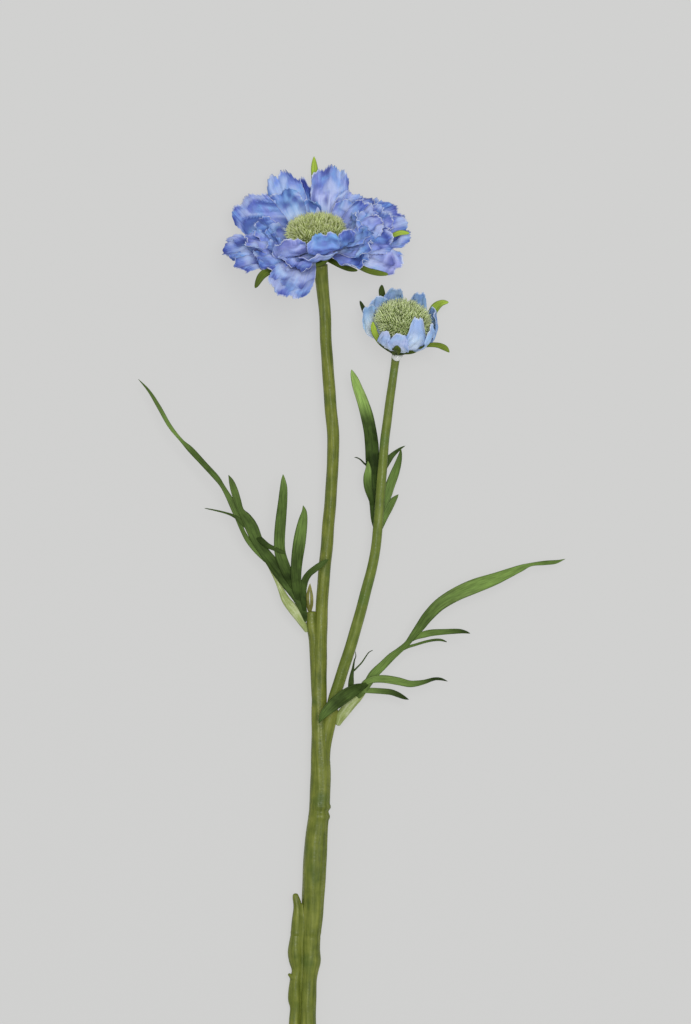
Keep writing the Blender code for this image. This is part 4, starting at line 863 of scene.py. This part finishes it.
def petal(head, cushion, row, layer, seed):
    """A ruffled petal. Its centre line is the quadratic curve through root, elbow and tip. Its half width
    is w (claw + (1 - claw) sin(pi/2 min(1, v / 0.85))^1.5), it is cupped by 0.14 w u^2, and it waves by
    ruffle v^1.4 sin(2.1 pi u + a + 1.5 v), with folds on top and teeth cut into the tip."""
    azimuth, elbow_r, elbow_a, tip_r, tip_a, half_width, twist, *dye = row
    root_r, root_a, ruffle, claw, pressed, toothed, round_tip, rows, columns = layer
    draw = np.random.default_rng(seed)
    phase = draw.uniform(0.0, 2 * math.pi, 8)
    u = np.linspace(-1.0, 1.0, columns)[None, :]
    v = np.linspace(0.0, 1.0, rows)[:, None]
    count = max(6, round(half_width * 1.9))
    steps = np.cumsum(draw.uniform(0.5, 1.5, count))
    tooth = np.interp(u, np.interp(steps, (steps[0], steps[-1]), (-1.0, 1.0)), np.arange(count))
    sizes = np.interp(tooth, np.arange(count), draw.uniform(0.2, 1.3, count))
    teeth = 0.045 * toothed * sizes * (1 - 2 * np.abs(tooth % 1.0 - 0.5)) ** 0.8
    notch = 0.055 * toothed * (0.5 + 0.5 * np.cos(2.3 * math.pi * u + phase[1])) ** 3
    s = v * (1 - round_tip * np.abs(u) ** 3) - (teeth + notch) * v**9
    line = np.array(((root_r, root_a), (elbow_r, elbow_a), (tip_r, tip_a)), float)
    share = s[..., None]
    centre = (1 - share) ** 2 * line[0] + 2 * share * (1 - share) * line[1] + share**2 * line[2]
    slope = unit((1 - share) * (line[1] - line[0]) + share * (line[2] - line[1]))
    width = half_width * (claw + (1 - claw) * np.sin(math.pi / 2 * np.minimum(1.0, v / 0.85)) ** 1.5)
    side_teeth = toothed * np.abs((v * 9 + phase[2] + 0.7 * np.sin(7 * v)) % 1.0 - 0.5) * np.abs(u) ** 10
    width = width * (1 - 0.09 * side_teeth * np.clip(3 * v - 1.0, 0, 1))
    length = np.linalg.norm(np.diff(line, axis=0), axis=1).sum()
    fold = pressed * folds(u * width, v * length, draw) * (0.25 + 0.75 * v) * np.clip(4 * v, 0, 1)
    wave = ruffle * v**1.4 * np.sin(2.1 * math.pi * u + phase[3] + 1.5 * v)
    frill = 0.45 * toothed * v**5 * np.sin(11.0 * u + 2.5 * np.sin(3 * u + phase[4]) + phase[5])
    curl = 0.5 * math.sin(phase[6]) * v**5 * half_width / 6
    rise = 0.14 * width * u**2 + wave + fold + frill + curl
    turn = math.radians(twist) * np.minimum(1.0, 1.6 * v)
    sideways = u * width * np.cos(turn) - rise * np.sin(turn)
    upwards = u * width * np.sin(turn) + rise * np.cos(turn)
    radial = centre[..., 0] - upwards * slope[..., 1]
    height = centre[..., 1] + upwards * slope[..., 0]
    a = math.radians(azimuth)
    across = radial * math.cos(a) - sideways * math.sin(a), radial * math.sin(a) + sideways * math.cos(a)
    middle = off_table(placed(head, off_cushion(np.stack([*across, height], axis=-1), cushion)), 0.4)
    thick = PETAL_THICK / 2 * (1 - 0.5 * np.maximum(np.abs(u) ** 8, v**12))
    uv = np.stack([(u + 1) / 2 + 0 * v, v + 0 * u], axis=-1)
    # Painted fold shading for the material: low on crests, where it paints highlight, high in pits, where it
    # paints shade.
    fold_shading = np.clip(0.5 - (fold + 0.5 * frill) / 1.6, 0.0, 1.0)
    dyes_and_shading = np.stack([value + 0 * fold_shading for value in dye] + [fold_shading], axis=-1)
    return blade(middle, thick, uv, dyes_and_shading)


# %% [markdown]
# Each row is one petal: its azimuth from the right, the radius and height of its elbow and its tip, its
# half width and its twist, and then its dye: how lilac, how pale and how deep. How deep also paints
# shade on the petal's lower half, and petals that lie in shade are given the deepest value. The layers
# go from the outer ring inwards.
# %% Petal rows
BLOOM_OUTER = (
    (4, 22, 0, 36.0, 1.5, 7.5, 34, 0.4, 0.3, 0.8),
    (22, 21, 1, 36.0, 5.0, 7.0, 36, 0.4, 0.2, 0.9),
    (40, 21, 1, 34.0, 5.0, 6.6, 34, 0.35, 0.2, 0.9),
    (58, 20, -1, 31.0, 6.0, 7.5, 20, 0.5, 0.4, 0.6),
    (72, 18, 3, 28.5, 21.0, 7.2, 10, 0.7, 0.9, 0.5),
    # Deepest dye as painted shade: this back petal lies in shadow between its neighbours.
    (99, 19, 1, 27.0, 17.6, 3.8, 0, 0.1, 0.0, 1.0),
    (115, 17, 3, 28.0, 21.5, 7.0, -20, 0.3, 0.6, 0.4),
    (131, 20, -1, 33.0, 6.0, 8.0, -20, 0.3, 0.2, 0.9),
    (150, 20, 2, 31.0, 16.0, 8.5, -46, 0.4, 0.2, 0.8),
    (179, 22, 0, 35.6, 3.4, 7.5, -12, 0.4, 0.2, 1.0),
    (200, 21, -1, 34.5, 1.8, 7.0, -10, 0.3, 0.1, 1.0),
    (245, 20, 1, 34.0, -5.0, 8.4, -22, 0.5, 1.0, 0.8),
    (316, 15, -1, 24.0, -1.2, 5.6, 12, 0.3, 0.1, 0.9),
    (336, 21, -2, 34.5, -5.6, 5.8, 24, 0.9, 0.9, 0.2),
)
BLOOM_MIDDLE = (
    (49, 17, 3, 28.0, 9.6, 6.8, 36, 0.8, 0.6, 0.3),
    (36, 18, 2, 30.0, 8.6, 5.5, 42, 0.5, 0.4, 0.7),
    (15, 18, 1, 30.5, 6.0, 7.0, 30, 0.5, 0.3, 0.8),
    (352, 18, 0, 29.5, 1.5, 7.0, 26, 0.4, 0.2, 0.8),
    (331, 18, -1, 24.0, 6.0, 7.0, 20, 0.1, 0.4, 0.5),
    (127, 16, 4, 23.5, 15.5, 8.6, -38, 0.1, 0.8, 0.3),
    (166, 16, 1, 23.0, 10.5, 6.0, -20, 0.3, 0.4, 0.7),
    (186, 17, 0, 27.0, 8.0, 6.0, -16, 0.4, 0.3, 0.8),
    (215, 17, 0, 28.0, 3.0, 7.5, -10, 0.2, 0.3, 0.9),
    (240, 15, 0, 22.5, 2.0, 6.5, -8, 0.4, 0.2, 0.9),
    (3, 17, 2, 26.0, 7.0, 5.5, 32, 0.6, 0.4, 0.6),
    (28, 17, 3, 25.0, 10.0, 5.5, 38, 0.4, 0.4, 0.7),
)
BLOOM_INNER = (
    (233, 18, -1, 18.0, 11.5, 6.4, 38, 0.8, 0.7, 0.4),
    (280, 18, 0, 14.5, 12.4, 6.6, 0, 0.0, 0.1, 0.1),
    (270, 15, 0, 19.5, 4.0, 7.5, 0, 0.9, 0.4, 0.4),
    # Deepest dye as painted shade: this petal lies in the shade right of the cushion.
    (315, 17, 0, 15.5, 11.0, 5.0, -8, 0.0, 0.0, 1.0),
    (8, 18, 0, 15.5, 11.5, 4.6, 12, 0.0, 0.5, 0.3),
    (46, 16, 3, 20.5, 11.0, 5.0, 30, 0.3, 0.5, 0.5),
    (96, 17, 1, 17.5, 12.0, 4.8, 0, 0.1, 0.6, 0.3),
    (190, 16, 0, 15.5, 8.5, 4.2, 8, 0.3, 0.3, 0.7),
    (170, 15, 2, 18.0, 9.0, 4.6, -24, 0.3, 0.4, 0.6),
    (206, 15, 1, 20.5, 6.0, 5.0, -22, 0.6, 0.4, 0.6),
    (342, 16, 2, 20.5, 7.5, 5.0, 24, 0.0, 0.3, 0.6),
)
BUD_PETALS = (
    (115, 17, 0, 12.2, 16.4, 4.9, -6, 0.1, 0.6, 0.5),
    (70, 16, 0, 12.0, 16.2, 4.2, 4, 0.1, 0.5, 0.5),
    (34, 16, 0, 12.2, 13.4, 4.2, 6, 0.2, 0.3, 0.9),
    (2, 16, 1, 10.8, 15.4, 4.8, 10, 0.1, 0.1, 1.0),
    (332, 16, 1, 12.6, 14.4, 4.2, 16, 0.3, 0.9, 0.3),
    (300, 17, 1, 9.8, 18.0, 4.6, 0, 0.25, 0.8, 0.3),
    (270, 16, 0, 12.4, 11.6, 4.4, 0, 0.8, 0.9, 0.2),
    (246, 16, 0, 12.4, 10.6, 3.4, -4, 0.8, 0.9, 0.2),
    (178, 13, 1, 13.4, 12.4, 5.0, -36, 0.0, 1.5, 0.1),
    (148, 13, 1, 12.6, 13.6, 5.8, -32, 0.0, 1.3, 0.3),
)
# Root radius and height, ruffle, claw, how pressed and how toothed, how round the tip, and the grid's size
OUTER_LAYER = (5.2, -2.0, 0.7, 0.26, 1.0, 0.75, 0.13, 44, 61)
MIDDLE_LAYER = (5.2, -0.3, 0.7, 0.26, 1.0, 0.85, 0.12, 40, 53)
INNER_LAYER = (4.8, 1.2, 0.4, 0.36, 0.7, 0.7, 0.16, 34, 45)
BUD_LAYER = (3.0, 0.6, 0.3, 0.6, 0.4, 0.35, 0.30, 36, 41)
FIRST_SEED = 7

# %% Build the petals
seed = FIRST_SEED
for name, rows_of_petals, layer in (
    ("bloom_outer_petals", BLOOM_OUTER, OUTER_LAYER),
    ("bloom_middle_petals", BLOOM_MIDDLE, MIDDLE_LAYER),
    ("bloom_inner_petals", BLOOM_INNER, INNER_LAYER),
):
    petals = [petal(BLOOM, BLOOM_CUSHION, row, layer, seed + k) for k, row in enumerate(rows_of_petals)]
    seed += len(rows_of_petals)
    piece(name, joined(petals), bloom_cloth, "bloom_petals")
petals = [petal(BUD, BUD_CUSHION, row, BUD_LAYER, FIRST_SEED + k) for k, row in enumerate(BUD_PETALS)]
piece("bud_petal_ring", joined(petals), bud_cloth, "bud_petals")

# %% [markdown]
# ## Cushions
# The real cushion is a dome packed with fine upright tufts, like a pincushion. A core of the same dome,
# a little smaller, closes it. The tufts stand on it by the golden angle, which spreads them evenly:
# tuft k has the turn k * 137.5 degrees and equal steps of height. Each is a bent three-sided spike of
# fourteen triangles.
# %% Build the cushions
GOLDEN = math.pi * (3 - math.sqrt(5))
TUFT_REACH = -0.25


def turned(head, profile, columns, dye=(0.0, 0.0, 0.0, 0.0)):
    """A closed form turned round a head's axis: radius and height of the profile at each of the turns."""
    turn = 2 * math.pi * np.arange(columns) / columns
    profile = np.asarray(profile, float)
    circle = np.column_stack([np.cos(turn), np.sin(turn)])
    heights = np.broadcast_to(profile[:, 1:, None], (len(profile), columns, 1))
    rings = np.concatenate([profile[:, :1, None] * circle, heights], axis=-1)
    quads, across, along = grid_faces(len(profile), columns, closed=True)
    poles = np.array(((0.0, 0.0, profile[0, 1]), (0.0, 0.0, profile[-1, 1])))
    tris = pole_faces(len(profile), columns)
    points = placed(head, np.concatenate([rings.reshape(-1, 3), poles]))
    return bag(points, quads, np.stack([across, along], axis=-1), tris, np.zeros((len(tris), 3, 2)), dye)


def dome(cushion, share=1.0, steps=20):
    """The profile of a cushion's core: |r/R|^p + |z/H|^p = 1, from its underside up to its top."""
    angle = np.linspace(-0.49 * math.pi, 0.49 * math.pi, steps)
    r, z = np.cos(angle), np.sin(angle)
    size = (np.abs(r) ** CUSHION_POWER + np.abs(z) ** CUSHION_POWER) ** (1 / CUSHION_POWER) / share
    return np.column_stack([cushion["radius"] * r / size, cushion["middle"] + cushion["half"] * z / size])


def tufts(head, cushion, count, length, root, seed):
    """Bent spikes on the dome. Each has rings of three points at 0, 0.5 and 1 of its length, shrinking to
    a tip."""
    draw = np.random.default_rng(seed)
    k = np.arange(count)
    z = 1 - (k + 0.5) / count * (1 - TUFT_REACH)
    turn = k * GOLDEN
    r = np.sqrt(np.maximum(1 - z**2, 0))
    way = np.column_stack([r * np.cos(turn), r * np.sin(turn), z])
    size = (r**CUSHION_POWER + np.abs(z) ** CUSHION_POWER) ** (1 / CUSHION_POWER)
    scale = np.array((cushion["radius"], cushion["radius"], cushion["half"]))
    foot = way / size[:, None] * scale * 0.97
    normal = unit(np.sign(foot) * np.abs(foot / scale) ** (CUSHION_POWER - 1) / scale)
    lean = unit(normal + 0.34 * draw.normal(size=(count, 3)) + np.array((0.0, 0.0, 0.25)))
    bend = 0.3 * draw.normal(size=(count, 3))
    lengths = length * draw.uniform(0.7, 1.25, count)
    first = unit(np.cross(lean, (0.31, 0.17, 0.93)))
    second = np.cross(lean, first)
    share = np.array((0.0, 0.5, 1.0))
    straight = foot[:, None] + (lengths[:, None] * share)[..., None] * lean[:, None]
    centres = straight + (lengths[:, None] * share**2)[..., None] * bend[:, None] * 0.4
    radii = root * draw.uniform(0.7, 1.25, count)[:, None] * np.array((1.0, 0.8, 0.25))
    around = 2 * math.pi * np.arange(3) / 3
    spread = np.cos(around)[:, None] * first[:, None] + np.sin(around)[:, None] * second[:, None]
    rings = centres[:, :, None] + radii[:, :, None, None] * spread[:, None]
    quads, across, along = grid_faces(3, 3, closed=True)
    ends = np.array(((2, 1, 0), (6, 7, 8)))
    starts = (np.arange(count) * 9)[:, None, None]
    points = placed(head, rings.reshape(-1, 3) + (0.0, 0.0, cushion["middle"]))
    shade = np.clip(share * draw.uniform(0.55, 1.15, count)[:, None], 0, 1)
    blank = 0 * shade
    dye = np.repeat(np.stack([shade, blank, blank, blank], axis=-1).reshape(-1, 4), 3, axis=0)
    quad_uv = np.broadcast_to(np.stack([across, along], axis=-1), (count, 6, 4, 2))
    tri_uv = np.zeros((count * 2, 3, 2))
    return bag(points, quads + starts, quad_uv, (ends + starts).reshape(-1, 3), tri_uv, dye)


CORE_DYE = (0.1, 0.0, 0.0, 0.0)
for name, head, cushion, count, length, root, material, node in (
    ("bloom_tufts", BLOOM, BLOOM_CUSHION, 1900, 2.0, 0.19, bloom_tufts, "bloom_cushion"),
    ("bud_tufts", BUD, BUD_CUSHION, 1700, 2.3, 0.20, bud_tufts, "bud_cushion"),
):
    core = turned(head, dome(cushion, 0.97), 48, CORE_DYE)
    piece(name, joined([core, tufts(head, cushion, count, length, root, seed=21)]), material, node)

# %% [markdown]
# ## Calyx and bracts
# Under each head a small green cup joins it to the stem, and narrow bracts run out from it under the
# petals. A few of their tips show past the petals in the photo, bright where the light catches them.
# Those are blades along their own routes. The hidden ones between them lie under the petals at even
# turns.
# %% Build the calyces
def cup(profile, ribs=30):
    """A finer receptacle: the profile's corners rounded by a smooth curve through them."""
    points = np.array([(r, a, 0.0, 0.0) for r, a in profile])
    return smooth_route(points, ribs)[0][:, :2]


def hidden_bract(head, azimuth, reach, height):
    """A route of four points from under a head's cup out to a radius and a height in the head's own
    axes."""
    a = math.radians(azimuth)
    radii, heights = np.array((3.6, 9.0, 15.0, reach)), np.array((-4.3, -4.6, -4.6, height))
    points = placed(head, np.column_stack([radii * math.cos(a), radii * math.sin(a), heights]))
    points[:, 2] = np.maximum(points[:, 2], 0.9)
    return [(*point, half) for point, half in zip(points, (1.0, 1.4, 1.3, 0.7))]


BLOOM_BRACTS = (
    ((
        (-12.5, 152.0, 12.0, 1.0), (-13.0, 158.0, 5.0, 1.2), (-13.6, 168.0, 1.6, 1.3),
        (-14.0, 178.0, 1.8, 1.35),
        (-14.2, 181.6, 2.1, 1.25), (-14.3, 185.3, 2.4, 0.6),
    ), (0.1, 0.2, 0.9, 1.0)),
    ((
        (-12.4, 146.0, 17.0, 1.1), (-22.0, 141.5, 24.0, 1.3), (-29.0, 141.0, 31.0, 1.5),
        (-33.5, 138.5, 35.5, 1.5),
        (-36.2, 133.6, 37.5, 0.9),
    ), (0.0, 0.1, 0.3, 0.1)),
    ((
        (-9.0, 145.5, 17.0, 1.0), (-4.0, 142.8, 22.0, 1.1), (-0.8, 141.4, 25.0, 1.0), (2.3, 140.6, 27.0, 0.5),
    ), (0.0, 0.2)),
    ((
        (0.0, 144.0, 26.0, 0.9), (5.0, 141.0, 29.5, 1.0), (9.5, 139.6, 32.0, 1.1), (13.8, 138.9, 33.5, 0.6),
    ), (0.1, 0.3)),
    ((
        (12.0, 152.5, 16.0, 0.7), (16.2, 154.4, 21.5, 0.9), (18.8, 155.2, 22.5, 0.95),
        (21.9, 155.0, 22.0, 0.5),
    ), (0.9, 1.0)),
    (((-14.5, 143.5, 20.0, 1.2), (-11.0, 144.2, 22.5, 1.3), (-8.8, 145.6, 23.5, 0.8)), (0.4, 0.2)),
)
BLOOM_HIDDEN = ((15, 22, -4.4), (48, 20, -4.0), (122, 20, -3.6), (155, 20, -3.6), (188, 22, -4.8))
BUD_BRACTS = (
    ((
        (14.0, 122.0, 3.0, 1.0), (12.6, 129.0, 2.0, 1.1), (11.6, 133.6, 1.8, 1.2), (11.6, 136.4, 2.0, 0.6),
    ), (0.0, 0.1)),
    ((
        (12.0, 115.0, 8.0, 0.9), (7.4, 120.0, 8.0, 1.0), (4.8, 126.4, 8.6, 0.9), (3.2, 130.0, 9.0, 0.5),
    ), (0.0, 0.0)),
    ((
        (24.0, 119.0, 5.0, 1.0), (29.8, 124.4, 5.0, 1.5), (32.0, 127.6, 6.0, 1.7), (34.4, 129.2, 8.0, 1.2),
        (37.0, 129.4, 9.0, 0.6),
    ), (0.4, 0.5, 0.9, 1.0)),
    ((
        (18.4, 110.4, 11.0, 0.9), (23.0, 110.6, 15.0, 0.95), (27.5, 112.6, 18.0, 0.8),
        (32.0, 112.8, 20.0, 0.95),
        (35.2, 111.7, 21.0, 1.1), (37.0, 110.0, 21.0, 0.6),
    ), (0.1, 0.15, 0.3, 0.35)),
    ((
        (15.8, 110.6, 13.0, 0.9), (13.6, 111.8, 17.0, 1.0), (11.0, 113.9, 20.0, 1.1), (9.0, 116.8, 21.5, 1.1),
        (8.3, 119.2, 22.0, 1.1), (8.0, 121.6, 22.0, 0.5),
    ), (0.0, 0.0, 0.1, 0.8, 1.0)),
    ((
        (16.9, 110.2, 9.0, 1.2), (16.8, 110.4, 17.0, 1.5), (17.2, 111.0, 23.5, 1.6), (17.6, 112.6, 25.0, 1.1),
    ), (0.0, 0.1)),
)
BUD_HIDDEN = ((62, 15, 2.0), (91, 15, 1.0))
BLOOM_CUP = ((2.9, -6.7), (3.6, -6.0), (5.6, -4.4), (6.2, -3.3))
BUD_CUP = ((2.0, -5.8), (3.0, -5.0), (4.9, -3.2), (5.2, -2.0))
for name, head, profile, seen, hidden, node in (
    ("bloom_bracts", BLOOM, BLOOM_CUP, BLOOM_BRACTS, BLOOM_HIDDEN, "bloom_calyx"),
    ("bud_bracts", BUD, BUD_CUP, BUD_BRACTS, BUD_HIDDEN, "bud_calyx"),
):
    parts = [turned(head, cup(profile), 40)]
    parts += [lobe(route, fresh_and_highlight, seed=k) for k, (route, fresh_and_highlight) in enumerate(seen)]
    parts += [lobe(hidden_bract(head, *row), seed=k) for k, row in enumerate(hidden)]
    piece(name, joined(parts), bract_press, node)

# %% [markdown]
# ## The dab of glue
# A bead of clear hot-melt glue holds the half-open flower on its stem. It is a flattened drop, slightly
# lumpy.
# %% Build the glue
GLUE_CENTRE = (17.4, 108.6, 9.8)
GLUE_HALVES = (2.0, 1.5, 1.3)


def drop(centre, halves, rows=28, columns=36):
    """An ellipsoid whose radius swells by a few slow waves of its two angles."""
    rise = np.linspace(-0.48 * math.pi, 0.48 * math.pi, rows)[:, None]
    turn = 2 * math.pi * np.arange(columns)[None, :] / columns
    swell = 1 + (0.07 * np.sin(3 * turn + 2 * rise) + 0.05 * np.sin(2 * turn - 4 * rise)) * np.cos(rise)
    level = np.cos(rise)
    ball = np.stack([level * np.cos(turn), level * np.sin(turn), np.sin(rise) + 0 * turn], axis=-1)
    points = (ball * swell[..., None]) * halves
    poles = np.array(((0.0, 0.0, -halves[2]), (0.0, 0.0, halves[2])))
    quads, across, along = grid_faces(rows, columns, closed=True)
    tris = pole_faces(rows, columns)
    points = np.concatenate([points.reshape(-1, 3), poles]) + np.asarray(centre)
    return bag(points, quads, np.stack([across, along], axis=-1), tris, np.zeros((len(tris), 3, 2)))


piece("glue_bead", drop(GLUE_CENTRE, GLUE_HALVES), glue_melt, "glue_dab")

# %% [markdown]
# ## Floor, light and camera
# The photo was taken against a plain pale grey ground, lit so evenly that no shadow shows. The spray
# lies on a pale, softly backlit board here, as on a product table. A soft box near the camera and an
# even sky light it. The camera hangs straight above it, as far off as a portrait lens would be, with
# the stem leaving the picture at its lower edge.
# %% Stage
FLOOR_HALF = 4000.0
BOARD_GLOW = 0.52
SKY_STRENGTH = 0.42
floor_mesh = bpy.data.meshes.new("floor")
corners = [(-FLOOR_HALF * MM, -FLOOR_HALF * MM, 0), (FLOOR_HALF * MM, -FLOOR_HALF * MM, 0)]
corners += [(FLOOR_HALF * MM, FLOOR_HALF * MM, 0), (-FLOOR_HALF * MM, FLOOR_HALF * MM, 0)]
floor_mesh.from_pydata(corners, [], [(0, 1, 2, 3)])
floor = bpy.data.objects.new("floor", floor_mesh)
bpy.context.scene.collection.objects.link(floor)
floor_paint, floor_tree, floor_shader = shader_of("backlit acrylic board", 0.9, Specular_IOR_Level=0.1)
floor_shader.inputs["Base Color"].default_value = linear("#5F5F5E")
floor_shader.inputs["Emission Color"].default_value = linear("#FFFFFE")
floor_shader.inputs["Emission Strength"].default_value = BOARD_GLOW
floor_mesh.materials.append(floor_paint)

world = bpy.data.worlds.new("studio")
world.use_nodes = True
sky = world.node_tree.nodes["Background"]
sky.inputs["Color"].default_value = linear("#FEFFFF")
sky.inputs["Strength"].default_value = SKY_STRENGTH
bpy.context.scene.world = world


def soft_box(name, place, target, size, watts):
    """A square area light that faces its target."""
    data = bpy.data.lights.new(name, "AREA")
    data.size = size
    data.energy = watts
    lamp = bpy.data.objects.new(name, data)
    bpy.context.scene.collection.objects.link(lamp)
    lamp.location = place
    way = np.asarray(target, float) - np.asarray(place, float)
    lamp.rotation_mode = "QUATERNION"
    lamp.rotation_quaternion = Vector(way).to_track_quat("-Z", "Y")
    return lamp


soft_box("key", (0.2, 0.3, 2.4), (0.0, 0.03, 0.0), 1.1, 36.0)
bpy.context.scene.view_settings.view_transform = "Standard"

# %% Camera
SUBJECT_HEIGHT = 12.0
CAMERA_RISE = 2000.0
SENSOR_MM = 36.0

centre_x = (IMAGE_SIZE[0] / 2 - ORIGIN_PIXEL[0]) * MM_PER_PIXEL
centre_y = (ORIGIN_PIXEL[1] - IMAGE_SIZE[1] / 2) * MM_PER_PIXEL
camera_data = bpy.data.cameras.new("camera")
camera_data.sensor_width = SENSOR_MM
camera_data.lens = SENSOR_MM * CAMERA_RISE / (IMAGE_SIZE[1] * MM_PER_PIXEL)
camera = bpy.data.objects.new("camera", camera_data)
bpy.context.scene.collection.objects.link(camera)
camera.location = (centre_x * MM, centre_y * MM, (CAMERA_RISE + SUBJECT_HEIGHT) * MM)
bpy.context.scene.camera = camera
print("lens:", round(camera_data.lens, 1), "mm")
